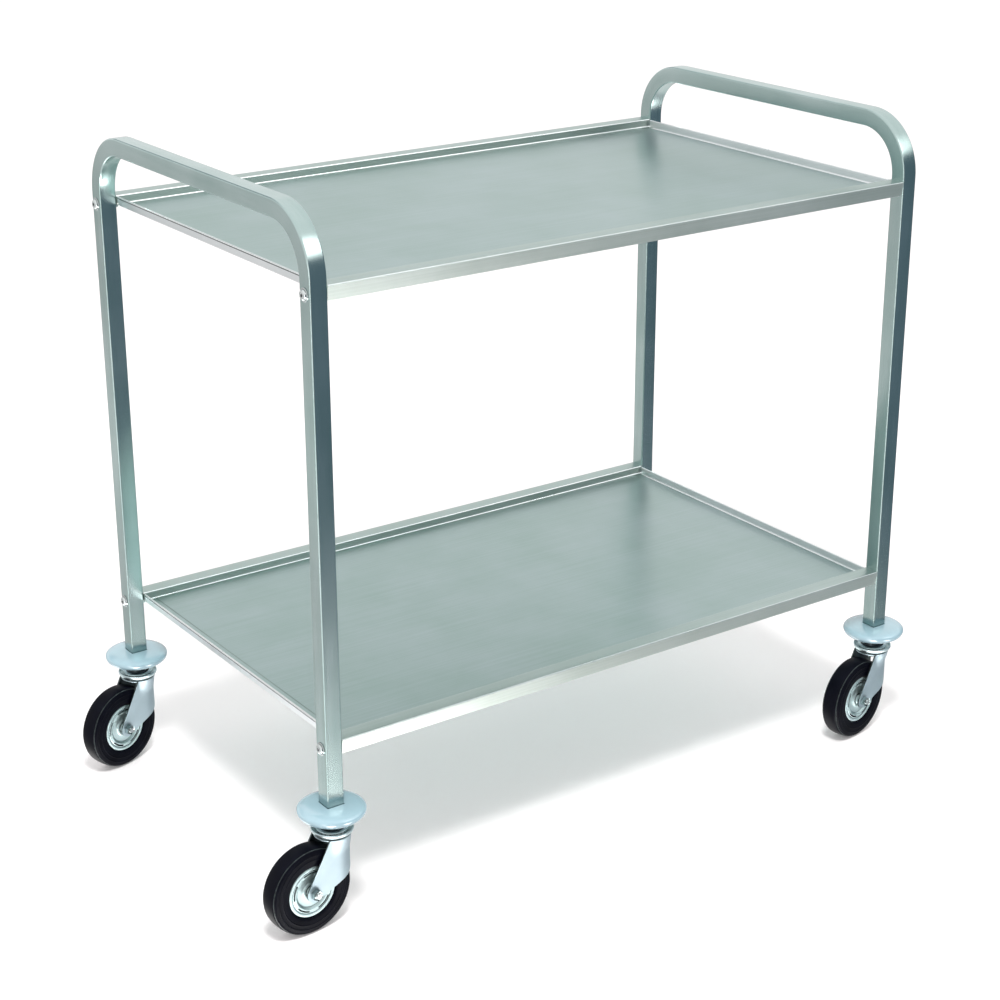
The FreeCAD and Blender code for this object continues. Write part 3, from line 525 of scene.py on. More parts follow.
def tray(level):
    """One folded sheet: channel rims, a flat deck with joggled ends and hemmed upstands."""
    node = f"tray_{level}"
    low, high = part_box(node)
    middle_x = (low.x + high.x) / 2
    half_x = (high.x - low.x) / 2
    half_y = high.y
    top = high.z
    inner = half_y - RIM_WIDTH
    deck = top - DECK_DEPTH
    half = SHEET / 2
    mesh_data = bmesh.new()

    # rims: up the skirt, over the top and down to the deck
    corners = [
        (half_y - half - SKIRT_LEAN, low.z),
        (half_y - half, top - half),
        (inner + half, top - half),
        (inner + half, deck - half),
        (inner - FLOOR_FOLD * 2, deck - half),
    ]
    rim_path = soften(corners, (FOLD, FOLD, FOLD, FLOOR_FOLD, FOLD), 5, closed=False)[:-1]
    for way in (-1, 1):
        folded_sheet(mesh_data, ribbon(rim_path, SHEET), (-half_x, half_x),
                     lambda x, point: (middle_x + x, point[0] * way, point[1]))

    # deck plate, stepping down towards the ends
    edge = rim_path[-1][0]
    wall = half_x - HEM
    step = wall - JOGGLE_INSET
    flat_end = wall - FLOOR_FOLD * 2
    stations = [(-flat_end, 1), (-step - JOGGLE_RAMP, 1), (-step - JOGGLE_RAMP / 3, 0.85),
                (-step + JOGGLE_RAMP / 3, 0.15), (-step + JOGGLE_RAMP, 0)]
    stations += [(-x, drop) for x, drop in reversed(stations)]
    rows = []
    for x, drop in stations:
        z = deck - JOGGLE_STEP * drop
        spots = ((-edge, z), (edge, z), (edge, z - SHEET), (-edge, z - SHEET))
        rows.append([mesh_data.verts.new((middle_x + x, y, height)) for y, height in spots])
    skin_over(mesh_data, rows)
    mesh_data.faces.new(rows[0])
    mesh_data.faces.new(rows[-1])

    # end upstands: up from the deck, over in a hem and down the outside
    strip = deck - JOGGLE_STEP - half
    crest = top - END_DROP
    fold_radius = (HEM - SHEET) / 2
    fold_centre = crest - half - fold_radius
    outside = half_x - half
    path = [(flat_end, strip), (wall + half, strip), (wall + half, fold_centre)]
    path = soften(path, FLOOR_FOLD, 5, closed=False)[:-1]
    path += arc_points((half_x - HEM / 2, fold_centre), fold_radius, math.pi, 0, 8)
    path += [(outside, crest - at) for at in HEM_SEAM]
    path.append((outside - HEM_LEAN, strip + half / 2))
    left, right = ribbon(path, SHEET)
    left[-3] = (left[-3][0] - SEAM_DEPTH, left[-3][1])
    span = inner - CORNER_SLIT
    seams = set()
    for way in (-1, 1):
        rows = folded_sheet(mesh_data, (left, right), (-span, span),
                            lambda y, point: (middle_x + point[0] * way, y, point[1]))
        groove = {vertex for row in rows for vertex in row[len(left) - 4:len(left) - 1]}
        for vertex in groove:
            seams.update(face for face in vertex.link_faces
                         if sum(corner in groove for corner in face.verts) == 4)

    bmesh.ops.recalc_face_normals(mesh_data, faces=mesh_data.faces)
    # each face gets a copy of the steel by where it faces: painted light, painted shade or a painted
    # highlight
    outer_side = half_y - 2 * SHEET - SKIRT_LEAN
    for face in mesh_data.faces:
        middle = face.calc_center_median()
        out, side = abs(middle.x - middle_x), abs(middle.y)
        bent = max(abs(face.normal.x), abs(face.normal.y), abs(face.normal.z)) < 0.97
        if face in seams:
            face.material_index = SEAM
        elif side < inner - FLOOR_FOLD + half:
            if out > wall + half and middle.z > deck - HEM:
                face.material_index = BEND if middle.z > crest - SHEET else HEM_FACE
            elif out > flat_end and (bent or middle.z > deck + half):
                face.material_index = BEND if bent else HEM_FACE
            elif bent:
                face.material_index = WALL
        elif bent:
            face.material_index = OUTER_BEND if side > outer_side else BEND
        elif abs(face.normal.z) < 0.5:
            face.material_index = SKIRT if side > outer_side else WALL
        elif middle.z > deck + half:
            face.material_index = RIM_TOP
    finish_mesh(f"{node}_sheet", mesh_data, TRAY_MATERIALS, ROOT, node, 32)


# ---------------------------------------------------------------- fasteners

SCREW_DOME = 7 * MM        # radius of a screw's head
WASHER_SHEET = 1.2 * MM
BRACKET_SHEET = 2.5 * MM
TRAY_NUT_HEIGHT = 5 * MM
EDGE = 0.05 * MM           # how far a chamfer begins from a hexagon's face


def hexagon_radius(flats, angle):
    """Distance from a hexagon's middle to its edge, for its width across flats."""
    return flats / 2 / math.cos((angle + TURN / 12) % (TURN / 6) - TURN / 12)


def hexagon_mesh(flats, height, bore, both=False, axis="Z"):
    """Hexagon nut or head with turned corners, at its top or at both ends."""
    mesh_data = bmesh.new()
    turned = flats / 2 * 0.985
    slope = math.tan(math.radians(28))
    sink_depth, sink_width = 0.45 * MM, 0.6 * MM       # of the bore's countersink

    def edge(angle):
        return hexagon_radius(flats, angle)

    def drop(angle):
        return EDGE + (edge(angle) - turned) * slope

    outline = [(turned - 0.2 * MM, height), (turned, height - EDGE),
               (edge, lambda angle: height - drop(angle))]
    outline += [(edge, drop), (turned, EDGE), (turned, 0)] if both else [(edge, 0)]
    if bore:
        outline = [(bore, height - sink_depth), (bore + sink_width, height)] + outline + [(bore, 0)]
    rows = [ring(mesh_data, radius, z, 72, axis) for radius, z in outline]
    skin_over(mesh_data, rows, bool(bore))
    if not bore:
        mesh_data.faces.new(rows[0])
        mesh_data.faces.new(rows[-1])
    return mesh_data


def thread_profile(radius, start, end, pitch, depth):
    """Outline of a threaded end: rings one pitch apart, then a tip with a raised edge."""
    profile = [(radius, start)]
    for turn in range(int((end - start) / pitch)):
        at = start + pitch * (turn + 0.5)
        profile += [(radius, at - pitch * 0.3), (radius - depth, at), (radius, at + pitch * 0.3)]
    profile += [(radius, end - depth * 1.5), (radius - depth * 1.5, end), (0, end)]
    return profile


def screw_mesh():
    """Domed head with a hexagon socket, and its shank; +Z points out of the head."""
    mesh_data = bmesh.new()
    height, shank, reach = 3.6 * MM, 3 * MM, 36.5 * MM
    socket, socket_depth = 2.0 * MM, 2.0 * MM
    flat = socket + 0.9 * MM       # radius of the flat round the socket
    # radius, height, and how much of a hexagon the ring is
    outline = [(socket * 0.3, height - socket_depth - 0.4 * MM, 1), (socket, height - socket_depth, 1),
               (socket, height - 0.35 * MM, 1), (socket + 0.3 * MM, height - 0.1 * MM, 0.6),
               (flat, height - 0.08 * MM, 0)]
    for step in range(1, 9):
        angle = step / 8 * math.pi / 2
        outline.append((flat + (SCREW_DOME - flat) * math.sin(angle),
                        0.5 * MM + (height - 0.58 * MM) * math.cos(angle), 0))
    outline += [(SCREW_DOME, 0.1 * MM, 0), (SCREW_DOME - 0.1 * MM, 0, 0), (shank, 0, 0),
                (shank, -reach + 0.6 * MM, 0), (shank - 0.6 * MM, -reach, 0)]
    rows = [ring(mesh_data, lambda angle: radius * (1 + hexagon * (hexagon_radius(2, angle) - 1)), z, 48)
            for radius, z, hexagon in outline]
    skin_over(mesh_data, rows)
    mesh_data.faces.new(rows[0])
    mesh_data.faces.new(rows[-1])
    # the socket gets painted shade
    give_second(mesh_data, lambda at: 0 < at.z < height - 0.3 * MM and at.xy.length < socket * 1.2)
    return mesh_data


def washer_mesh():
    mesh_data = bmesh.new()
    bore, rim = 3.2 * MM, 9 * MM
    profile = [(bore, 0), (rim, 0), (rim, WASHER_SHEET), (bore, WASHER_SHEET)]
    lathe(mesh_data, soften(profile, 0.35 * MM, 3), 64)
    return mesh_data


def tray_nut_mesh():
    return hexagon_mesh(10 * MM, TRAY_NUT_HEIGHT, 3.05 * MM, both=True)


def tray_fasteners():
    """Screws and washers at every leg and level, and the nuts behind the brackets."""
    low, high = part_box("tray_screws")
    left_low, left_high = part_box("end_frame_left")
    right_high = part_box("end_frame_right")[1]
    tube = left_high.x - left_low.x
    leg_y = left_high.y - tube / 2
    levels = (("lower", low.z + SCREW_DOME), ("upper", high.z - SCREW_DOME))
    for side, way, face in (("left", -1, left_low.x), ("right", 1, right_high.x)):
        outwards = Matrix.Rotation(way * math.pi / 2, 4, "Y")
        for depth, y in (("front", -leg_y), ("back", leg_y)):
            for index, (level, z) in enumerate(levels):
                tightened = Matrix.Rotation(0.4 + 1.3 * index + y + way, 4, "Z")
                nut_x = face - way * (tube + BRACKET_SHEET + TRAY_NUT_HEIGHT)
                for part, build, material, node, x, spin in (
                        ("screw", screw_mesh, (bright, painted_recess_shade), "tray_screws",
                         face + way * WASHER_SHEET, tightened),
                        ("washer", washer_mesh, bright, "tray_screw_washers", face, Matrix()),
                        ("nut", tray_nut_mesh, bright, "tray_nuts", nut_x, Matrix())):
                    seat = Matrix.Translation((x, y, z)) @ outwards @ spin
                    name = f"{level}_{depth}_{side}_{part}"
                    repeated(build, name, material, ROOT, node, seat)


# ---------------------------------------------------------------- casters

# all four casters are alike, so the sizes that the frame gives are read from one of them
SWIVEL_X, SWIVEL_Y, _ = joint("front_left_swivel_turn")["pos_m"]
WHEEL_X, WHEEL_Y, HUB = joint("front_left_wheel_spin")["pos_m"]
TRAIL = math.hypot(SWIVEL_X - WHEEL_X, SWIVEL_Y - WHEEL_Y)      # of the axle behind the kingpin
KINGPIN = 6 * MM
AXLE = 4 * MM
RUNNING_FIT = 0.05 * MM
FORK_HALF = 20 * MM        # outside of a fork arm from the wheel's middle plane
AXLE_HEX = 13 * MM
AXLE_NUT_HEIGHT = 6.5 * MM
# the bands at these radii get painted shade
DISC_CREASE_SHADE = ((22.3 * MM, 23.3 * MM), (30.3 * MM, 31.2 * MM))      # radii where the pressing creases the disc


def bumper_mesh():
    """Moulded ring whose top slopes up to the square leg socket."""
    mesh_data = bmesh.new()
    low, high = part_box("front_left_bumper")
    foot, top, edge = low.z, high.z, (high.x - low.x) / 2
    widest, under, neck = 165.4 * MM, 10.5 * MM, 19 * MM
    outline = [(6.5 * MM, foot + 3 * MM), (30 * MM, foot + 3 * MM), (33 * MM, foot), (edge - under, foot)]
    outline = soften(outline, 1.5 * MM, 4, closed=False)
    for step in range(1, 11):
        angle = (step / 10 - 1) * math.pi / 2
        outline.append((edge - under + under * math.cos(angle), widest + (widest - foot) * math.sin(angle)))
    for step in range(1, 17):
        angle = step / 16 * math.pi / 2
        outline.append((neck + (edge - neck) * math.cos(angle) ** 0.86,
                        widest + (top - widest) * math.sin(angle) ** 0.86))
    segments = 96
    rows = [ring(mesh_data, radius, height, segments) for radius, height in outline]
    socket, seat = 12.7 * MM, 168.2 * MM
    for flare, height in ((0.48 * MM, top), (0, top - 0.4 * MM), (0, seat)):
        rows.append(ring(mesh_data, lambda a: flare + socket / max(abs(math.cos(a)), abs(math.sin(a))),
                         height, segments))
    skin_over(mesh_data, rows, closed=True)
    return mesh_data


def stem_mesh():
    """Kingpin from below its nut up into the leg's plug."""
    mesh_data = bmesh.new()
    low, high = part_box("front_left_stem")
    profile = [(0, low.z), (KINGPIN - MM, low.z), (KINGPIN, low.z + MM), (KINGPIN, high.z - MM),
               (KINGPIN - MM, high.z), (0, high.z)]
    lathe(mesh_data, soften(profile, 0.3 * MM, 2), 48)
    bmesh.ops.remove_doubles(mesh_data, verts=mesh_data.verts, dist=1e-6)
    return mesh_data


def upper_race_mesh():
    """Polished race with a rolled edge and a collar that rises to the bumper."""
    mesh_data = bmesh.new()
    bore = (KINGPIN + RUNNING_FIT) / MM
    profile = [(bore, 137.9), (14, 137.9), (15, 138.3), (20.6, 138.3), (21.4, 137.9), (22, 138.6),
               (21.4, 139.9), (17.2, 140.2), (15.6, 142.0), (15, 146), (15, 155.9), (bore, 155.9)]
    lathe(mesh_data, soften(millimetres(profile), 0.8 * MM, 4), 96)
    # the collar and the top of the race get painted shade
    give_second(mesh_data, lambda at: at.xy.length < 17.5 * MM and at.z > 140 * MM)
    return mesh_data


def race_cup_mesh():
    """Dished cup with a rolled lip and a step where it meets the crown."""
    mesh_data = bmesh.new()
    profile = [(6.3, 131.05), (21.6, 131.05), (24.4, 132.3), (27.4, 134.4), (28.5, 136.6), (28.75, 138.6),
               (28.4, 139.9), (27.6, 140.15), (27.0, 139.4), (27.05, 137.4), (25.9, 135.4), (23.4, 133.7),
               (21.0, 132.55), (6.3, 132.55)]
    lathe(mesh_data, soften(millimetres(profile), 1.2 * MM, 4, least_turn=0.1), 96)
    return mesh_data


def kingpin_nut_mesh():
    mesh_data = hexagon_mesh(19 * MM, 7 * MM, KINGPIN + RUNNING_FIT, both=True)
    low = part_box("front_left_kingpin_nut")[0]
    bmesh.ops.translate(mesh_data, verts=mesh_data.verts, vec=(0, 0, low.z))
    return mesh_data


def resample(points, count):
    """The same polyline with evenly spaced points."""
    lengths = [0.0]
    for first, second in zip(points, points[1:]):
        lengths.append(lengths[-1] + math.dist(first, second))
    result = []
    at = 0
    for step in range(count + 1):
        wanted = lengths[-1] * step / count
        while at + 2 < len(lengths) and lengths[at + 1] < wanted:
            at += 1
        span = lengths[at + 1] - lengths[at]
        part = min(max((wanted - lengths[at]) / span, 0), 1) if span else 0
        first, second = points[at], points[at + 1]
        result.append((first[0] + (second[0] - first[0]) * part, first[1] + (second[1] - first[1]) * part))
    return result


def fork_edges():
    """Trailing and leading edges of a fork arm, from crown to axle end, in plan x and height."""
    rear, toe, boss = math.radians(59.8), math.radians(21.5), 12 * MM
    top, front = 130.6 * MM, 17 * MM
    turn_x = -TRAIL - boss * math.sin(rear)
    turn_z = HUB + boss * math.cos(rear)
    trailing = [(turn_x + (top - turn_z) / math.tan(rear), top)]
    trailing += arc_points((-TRAIL, HUB), boss, math.pi / 2 + rear, 3 * math.pi / 2, 12)
    low_x, low_z = boss * math.sin(toe) - TRAIL, HUB - boss * math.cos(toe)
    corner = (front, low_z + (front - low_x) * math.tan(toe))
    leading = soften([(front, top), corner, (low_x, low_z)], 14 * MM, 10, closed=False)
    leading += arc_points((-TRAIL, HUB), boss, -math.pi / 2 + toe, -math.pi / 2, 4)[1:]
    return resample(trailing, 40), resample(leading, 40)


def smooth_step(value):
    value = min(max(value, 0), 1)
    return value * value * (3 - 2 * value)


def arm_depth(x, z):
    """Distance of the fork's outer skin from the wheel's middle plane."""
    forward = max(x + 4 * MM, 0) / (30 * MM)
    lower = FORK_HALF * math.sqrt(max(1 - forward * forward, 0.01))
    crown = math.sqrt(max((24.8 * MM) ** 2 - x * x, 0))
    rise = smooth_step((z - 106 * MM) / (25 * MM))
    return lower + max(crown - lower, 0) * rise


def fork_mesh():
    """Pressed fork: two curved arms that flow into a round crown plate."""
    mesh_data = bmesh.new()
    trailing, leading = fork_edges()
    across = 14
    sheet = 2.3 * MM
    outside = set()
    for way in (-1, 1):
        outer, inner = [], []
        for (tail_x, tail_z), (lead_x, lead_z) in zip(trailing[:-1], leading[:-1]):
            out_row, in_row = [], []
            for step in range(across + 1):
                part = step / across
                x = tail_x + (lead_x - tail_x) * part
                z = tail_z + (lead_z - tail_z) * part
                depth = arm_depth(x, z)
                out_row.append(mesh_data.verts.new((x, depth * way, z)))
                in_row.append(mesh_data.verts.new((x, (depth - sheet) * way, z)))
            outer.append(out_row)
            inner.append(in_row)
        for rows in (outer, inner):
            for first, second in zip(rows, rows[1:]):
                strip_between(mesh_data, first, second, closed=False)
        for end in (0, -1):
            strip_between(mesh_data, outer[end], inner[end], closed=False)
        for column in (0, -1):
            strip_between(mesh_data, [row[column] for row in outer], [row[column] for row in inner],
                          closed=False)
        outside.update(vertex for row in outer for vertex in row)
    # the inside faces and the sheet edges get painted shade
    for face in mesh_data.faces:
        if not outside.issuperset(face.verts):
            face.material_index = 1
    profile = [(6.1, 128), (23.4, 128), (24.9, 129), (25.2, 130.1), (24.7, 130.9), (6.1, 130.95)]
    lathe(mesh_data, soften(millimetres(profile), 0.6 * MM, 3), 96)
    return mesh_data


def axle_bolt_mesh():
    """Bolt head on the far side, shank through the hub, threaded end beyond the nut."""
    mesh_data = hexagon_mesh(AXLE_HEX, 5.3 * MM, 0, axis="Y")
    bmesh.ops.translate(mesh_data, verts=mesh_data.verts, vec=(0, FORK_HALF, 0))
    end = -(FORK_HALF + AXLE_NUT_HEIGHT + 2.5 * MM)
    profile = [(0, FORK_HALF), (AXLE, FORK_HALF)]
    profile += thread_profile(AXLE, -FORK_HALF, end, -1.25 * MM, 0.35 * MM)
    lathe(mesh_data, profile, 48, closed=False, axis="Y")
    bmesh.ops.remove_doubles(mesh_data, verts=mesh_data.verts, dist=1e-6)
    return mesh_data


def axle_nut_mesh():
    mesh_data = hexagon_mesh(AXLE_HEX, -AXLE_NUT_HEIGHT, AXLE + RUNNING_FIT, axis="Y")
    bmesh.ops.translate(mesh_data, verts=mesh_data.verts, vec=(0, -FORK_HALF, 0))
    return mesh_data


def tyre_mesh():
    """Tread with an edge groove each side, ribbed side walls and a clamped bead."""
    half = [(27.5, 0), (27.5, 12.0), (36.6, 12.0), (37.4, 13.6), (39.4, 14.6), (42.5, 14.95), (46.2, 15.0),
            (46.6, 15.3), (47.4, 15.3), (47.8, 15.0), (52.6, 14.9), (53.0, 15.2), (53.9, 15.15),
            (54.3, 14.8), (57.4, 14.5), (59.3, 13.7), (60.2, 12.9), (60.0, 12.6), (58.9, 12.2),
            (58.9, 11.7), (60.9, 11.5), (61.5, 10.6), (62.0, 7.8), (62.4, 4.0), (62.5, 0)]
    profile = millimetres(half)
    profile += [(radius, -y) for radius, y in reversed(profile) if y > 0]
    mesh_data = bmesh.new()
    lathe(mesh_data, soften(profile, 0.5 * MM, 3, least_turn=0.25), 160, axis="Y")
    # the edge grooves get a painted highlight
    give_second(mesh_data, lambda at: (58.6 * MM < at.xz.length < 60.4 * MM
                                       and 11.5 * MM < abs(at.y) < 13.1 * MM))
    return mesh_data


def rim_discs_mesh():
    """Two pressed discs: flange, pressed ring with curved slots, dish and hub boss."""
    mesh_data = bmesh.new()
    face = [(8.55, 8.9), (9.6, 10.9), (11.9, 11.1), (12.9, 10.7), (13.6, 10.1), (15.5, 9.95), (21.5, 9.95),
            (22.6, 10.3), (24.6, 12.4), (25.4, 12.9), (26.3, 13.0), (27.0, 12.9), (28.2, 12.75),
            (29.4, 12.9), (30.0, 12.6), (30.7, 12.2), (31.4, 12.6), (32.0, 13.2), (33.6, 13.35),
            (35.0, 13.25), (35.8, 12.8), (36.0, 12.3)]
    face = soften(millimetres(face), 0.8 * MM, 3, closed=False, least_turn=0.1)
    steps, segments = len(face) - 1, 150
    sheet = 1.15 * MM
    innermost = 8.8 * MM           # from the wheel's middle plane
    slot_low, slot_high = 26.9 * MM, 29.5 * MM
    slots, slot_degrees = 5, 44
    opened = {(step, index) for step in range(steps) for index in range(segments)
              if slot_low < (face[step][0] + face[step + 1][0]) / 2 < slot_high
              and (index + 0.5) / segments * slots % 1 < slot_degrees / 360 * slots}
    for way in (-1, 1):
        front, rear = skins = [
            [ring(mesh_data, radius, max(y - back, innermost) * way, segments, "Y") for radius, y in face]
            for back in (0, sheet)]
        for step in range(steps):
            for index in range(segments):
                after = (index + 1) % segments
                corners = ((step, index), (step, after), (step + 1, after), (step + 1, index))
                if (step, index) not in opened:
                    for rows in skins:
                        mesh_data.faces.new([rows[row][at] for row, at in corners])
                    continue
                # the edge of a slot joins the two skins
                across = ((step - 1, index), (step, after), (step + 1, index), (step, (index - 1) % segments))
                for (row_a, at_a), (row_b, at_b), other in zip(corners, corners[1:] + corners[:1], across):
                    if other not in opened:
                        mesh_data.faces.new((front[row_a][at_a], front[row_b][at_b],
                                             rear[row_b][at_b], rear[row_a][at_a]))
        for end in (0, -1):
            strip_between(mesh_data, front[end], rear[end])
    # the creases get painted shade
    give_second(mesh_data, lambda at: any(low < at.xz.length < high for low, high in DISC_CREASE_SHADE))
    return mesh_data


def hub_tube_mesh():
    mesh_data = bmesh.new()
    bore, outside, end = AXLE + RUNNING_FIT, 8.5 * MM, 17.1 * MM
    profile = [(bore, -end), (outside, -end), (outside, end), (bore, end)]
    lathe(mesh_data, soften(profile, 0.5 * MM, 3), 64, axis="Y")
    return mesh_data


# the parts on each body: name, mesh, material and slot
ON_FRAME = (
    ("bumper", bumper_mesh, bumper_plastic, "bumper"),
    ("stem", stem_mesh, zinc, "zinc"),
    ("upper_race", upper_race_mesh, (zinc, race_gap_shade), "zinc"),
    ("kingpin_nut", kingpin_nut_mesh, zinc, "zinc"),
)
ON_CROWN = (
    ("fork", fork_mesh, (fork_zinc, fork_painted_shade), "zinc"),
    ("race_cup", race_cup_mesh, zinc, "zinc"),
)
ON_AXLE = (
    ("axle_bolt", axle_bolt_mesh, bright, "bright_steel"),
    ("axle_nut", axle_nut_mesh, painted_shade_steel, "bright_steel"),
)
ON_WHEEL = (
    ("tyre", tyre_mesh, (rubber, tyre_painted_highlight), "tyre"),
    ("rim_discs", rim_discs_mesh, (disc_zinc, painted_shade_steel), "zinc"),
    ("hub_tube", hub_tube_mesh, bright, "bright_steel"),
)


def caster(corner):
    """All the pieces of one caster, placed by its swivel and wheel joints."""
    swivel = joint(f"{corner}_swivel_turn")
    wheel = joint(f"{corner}_wheel_spin")
    across_x, across_y, _ = wheel["axis"]
    if across_y < 0:
        across_x, across_y = -across_x, -across_y
    turn = Matrix.Rotation(math.atan2(-across_x, across_y), 4, "Z")
    leg = Matrix.Translation((swivel["pos_m"][0], swivel["pos_m"][1], 0))
    hub = Matrix.Translation(wheel["pos_m"]) @ turn
    for parts, body, matrix in (
            (ON_FRAME, ROOT, leg),
            (ON_CROWN, f"{corner}_swivel", leg @ turn),
            (ON_AXLE, f"{corner}_swivel", hub),
            (ON_WHEEL, f"{corner}_wheel", hub)):
        for part, build, material, slot in parts:
            node = f"{corner}_{part}"
            repeated(build, f"{node}_piece", material, body, node, matrix)


# ---------------------------------------------------------------- stage

FLOOR_REACH = 14           # metres from the middle to an edge
FLOOR_GLOW = 0.10          # keeps the shadows pale
ROOM = 9.0                 # radius of the room that reflections see
# the walls' brightness at heights given as the sine of the elevation
ROOM_WALLS = (
    (-1.0, 0.95), (-0.46, 0.93), (-0.36, 0.55), (-0.27, 0.84), (-0.17, 0.56),
    (-0.04, 0.62), (0.2, 0.98), (0.6, 1.0), (1.0, 1.05),
)
SHADE = (0.13, 0.18, 0.22, 1)
# A patch of the room is an azimuth, the angles from it where the patch is full and where it is gone,
# and the sines of the elevations where it rises and where it falls. Each row here is a strength and a patch.
DARK_SIDES = (
    (1.0, (-46, 50, 75, (-0.41, -0.33), (0.46, 0.36))),
    (0.85, (112, 16, 34, (0.42, 0.48), (0.68, 0.60))),
    (0.5, (-26, 12, 30, (-1.2, -1.1), (-0.2, -0.3))),
)
SOFT_BOXES = (
    (2.4, (-64, 8, 24, (0.44, 0.54), (0.84, 0.74))),
    (0.7, (-34, 8, 18, (0.42, 0.52), (0.72, 0.62))),
    (10.5, (-67, 7, 17, (-0.82, -0.74), (-0.50, -0.58))),
    (2.0, (122, 12, 30, (-0.97, -0.93), (-0.58, -0.68))),
    (2.6, (-145, 3, 9, (-0.75, -0.6), (0.3, 0.1))),
)
SPOT = 20.0                # strength of a small round lamp, then its azimuth and elevation
SPOT_HEADING = (-125, -47)
SPOT_EDGE = (0.975, 0.99)  # cosines of the angles where it is gone and where it is full


def stage_mesh(name, mesh_data, material):
    mesh = bpy.data.meshes.new(name)
    mesh_data.to_mesh(mesh)
    mesh_data.free()
    mesh.materials.append(material)
    backdrop = bpy.data.objects.new(name, mesh)
    bpy.context.scene.collection.objects.link(backdrop)
    return backdrop


def floor():
    """Wide pale floor with a little glow."""
    mesh_data = bmesh.new()
    corners = ((-1, -1), (1, -1), (1, 1), (-1, 1))
    mesh_data.faces.new([mesh_data.verts.new((x * FLOOR_REACH, y * FLOOR_REACH, 0)) for x, y in corners])
    material, tree, shader = new_material("floor_paper")
    feed(tree, shader, Base_Color=(0.905, 0.873, 0.873, 1), Roughness=0.9, Specular_IOR_Level=0.0,
         Emission_Color=(1, 1, 1, 1), Emission_Strength=FLOOR_GLOW)
    stage_mesh("floor", mesh_data, material).visible_glossy = False


def vector_math(tree, operation, socket, other=None):
    """A vector operation on a socket, and on a second vector where it takes one."""
    node = tree.nodes.new("ShaderNodeVectorMath")
    node.operation = operation
    tree.links.new(socket, node.inputs[0])
    if other is not None:
        node.inputs[1].default_value = other
    return node.outputs["Value" if operation == "DOT_PRODUCT" else "Vector"]


def heading(azimuth, elevation):
    turn, rise = math.radians(azimuth), math.radians(elevation)
    flat = math.cos(rise)
    return Vector((math.cos(turn) * flat, math.sin(turn) * flat, math.sin(rise))).normalized()


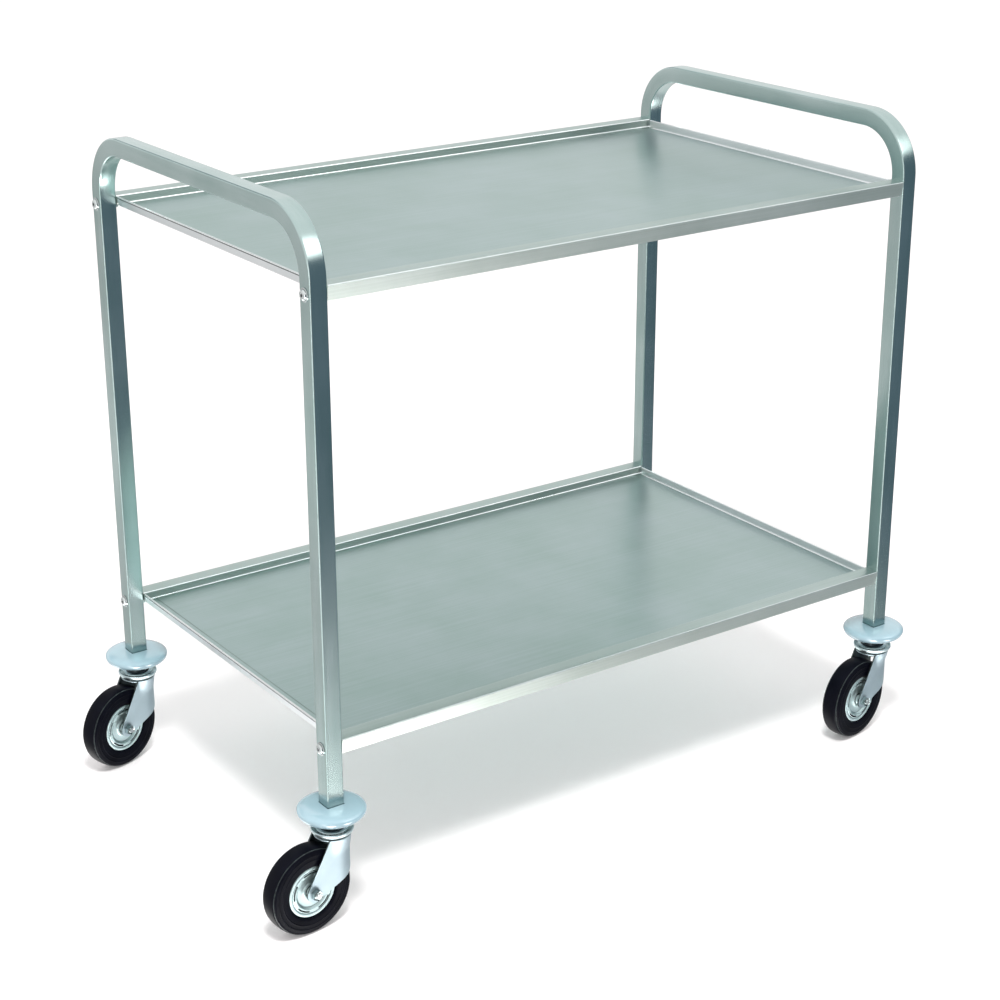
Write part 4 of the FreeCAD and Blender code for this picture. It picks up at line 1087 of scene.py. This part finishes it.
def reflection_room():
    """A room that only reflections see: pale walls, dark sides and soft boxes."""
    mesh_data = bmesh.new()
    bmesh.ops.create_icosphere(mesh_data, subdivisions=4, radius=ROOM)
    material = bpy.data.materials.new("reflection_room")
    material.use_nodes = True
    tree = material.node_tree
    tree.nodes.clear()
    output = tree.nodes.new("ShaderNodeOutputMaterial")
    emission = tree.nodes.new("ShaderNodeEmission")
    tree.links.new(emission.outputs[0], output.inputs["Surface"])
    direction = vector_math(tree, "NORMALIZE", object_place(tree))
    level = vector_math(tree, "NORMALIZE", vector_math(tree, "MULTIPLY", direction, (1, 1, 0)))
    split = tree.nodes.new("ShaderNodeSeparateXYZ")
    tree.links.new(direction, split.inputs[0])
    height = split.outputs["Z"]

    walls = tree.nodes.new("ShaderNodeValToRGB")
    tree.links.new(arithmetic(tree, "MULTIPLY_ADD", height, 0.5, 0.5), walls.inputs["Fac"])
    elements = walls.color_ramp.elements
    while len(elements) < len(ROOM_WALLS):
        elements.new(0.5)
    for element, (sine, brightness) in zip(elements, ROOM_WALLS):
        element.position = (sine + 1) / 2
        element.color = (brightness, brightness, brightness, 1)

    def patch(strength, azimuth, full, gone, rise, fall):
        side = band(tree, vector_math(tree, "DOT_PRODUCT", level, heading(azimuth, 0)),
                    math.cos(math.radians(gone)), math.cos(math.radians(full)))
        tall = arithmetic(tree, "MULTIPLY", band(tree, height, *rise), band(tree, height, *fall))
        return arithmetic(tree, "MULTIPLY", arithmetic(tree, "MULTIPLY", side, tall), strength)

    dark = 0.0
    for strength, place_of in DARK_SIDES:
        dark = arithmetic(tree, "MAXIMUM", dark, patch(strength, *place_of))
    shaded = mix_colour(tree, "MIX", dark, walls.outputs["Color"], SHADE)
    spot = band(tree, vector_math(tree, "DOT_PRODUCT", direction, heading(*SPOT_HEADING)), *SPOT_EDGE)
    light = arithmetic(tree, "MULTIPLY", spot, SPOT)
    for strength, place_of in SOFT_BOXES:
        light = arithmetic(tree, "ADD", light, patch(strength, *place_of))
    tree.links.new(mix_colour(tree, "ADD", 1.0, shaded, light), emission.inputs["Color"])
    room = stage_mesh("reflection_room", mesh_data, material)
    room.visible_camera = False
    room.visible_diffuse = False
    room.visible_shadow = False
    room.visible_transmission = False
    room.visible_volume_scatter = False


def aim(thing, location, direction, roll=0.0):
    """Stand a lamp or the camera at a place, looking along a direction."""
    thing.location = location
    thing.rotation_mode = "QUATERNION"
    spin = Matrix.Rotation(roll, 4, "Z").to_quaternion()
    thing.rotation_quaternion = direction.to_track_quat("-Z", "Y") @ spin
    bpy.context.scene.collection.objects.link(thing)


def studio():
    """White surroundings, one soft key light above the front left, and the reflections' room."""
    world = bpy.data.worlds.new("studio")
    world.use_nodes = True
    background = world.node_tree.nodes["Background"]
    background.inputs["Color"].default_value = (1.0, 1.0, 1.0, 1)
    background.inputs["Strength"].default_value = 1.04
    bpy.context.scene.world = world
    light = bpy.data.lights.new("key", "AREA")
    light.shape = "RECTANGLE"
    light.size = light.size_y = 0.7
    light.energy = 110
    lamp = bpy.data.objects.new("key", light)
    lamp.visible_glossy = False
    place_at, target = Vector((-1.2, -1.7, 3.6)), Vector((0.05, 0.05, 0.3))
    aim(lamp, place_at, target - place_at)
    reflection_room()
    bpy.context.scene.view_settings.view_transform = "Standard"


def camera():
    """The photograph's viewpoint, without its lens shift."""
    data = bpy.data.cameras.new("camera")
    data.sensor_width = 36
    data.lens = 2.11 * data.sensor_width
    data.clip_end = 60
    view = bpy.data.objects.new("camera", data)
    azimuth, fall, roll = math.radians(34.98), math.radians(21.14), math.radians(-0.13)
    direction = Vector((math.sin(azimuth) * math.cos(fall), math.cos(azimuth) * math.cos(fall),
                        -math.sin(fall)))
    aim(view, (-1.665, -2.398, 1.532), direction, roll)
    bpy.context.scene.camera = view


def dress_cad():
    """Materials for the CAD nodes that stay in view as they are."""
    for name, node in frame["nodes"].items():
        if name.startswith("tray_brackets"):
            material = deck_steel
        elif name == "leg_inserts":
            material = nylon
        elif name.endswith("race_balls"):
            material = bright
        else:
            continue
        node.data.materials.clear()
        node.data.materials.append(material)


end_frame("left")
end_frame("right")
tray("upper")
tray("lower")
tray_fasteners()
for corner in CORNERS:
    caster(corner)
dress_cad()
floor()
studio()
camera()
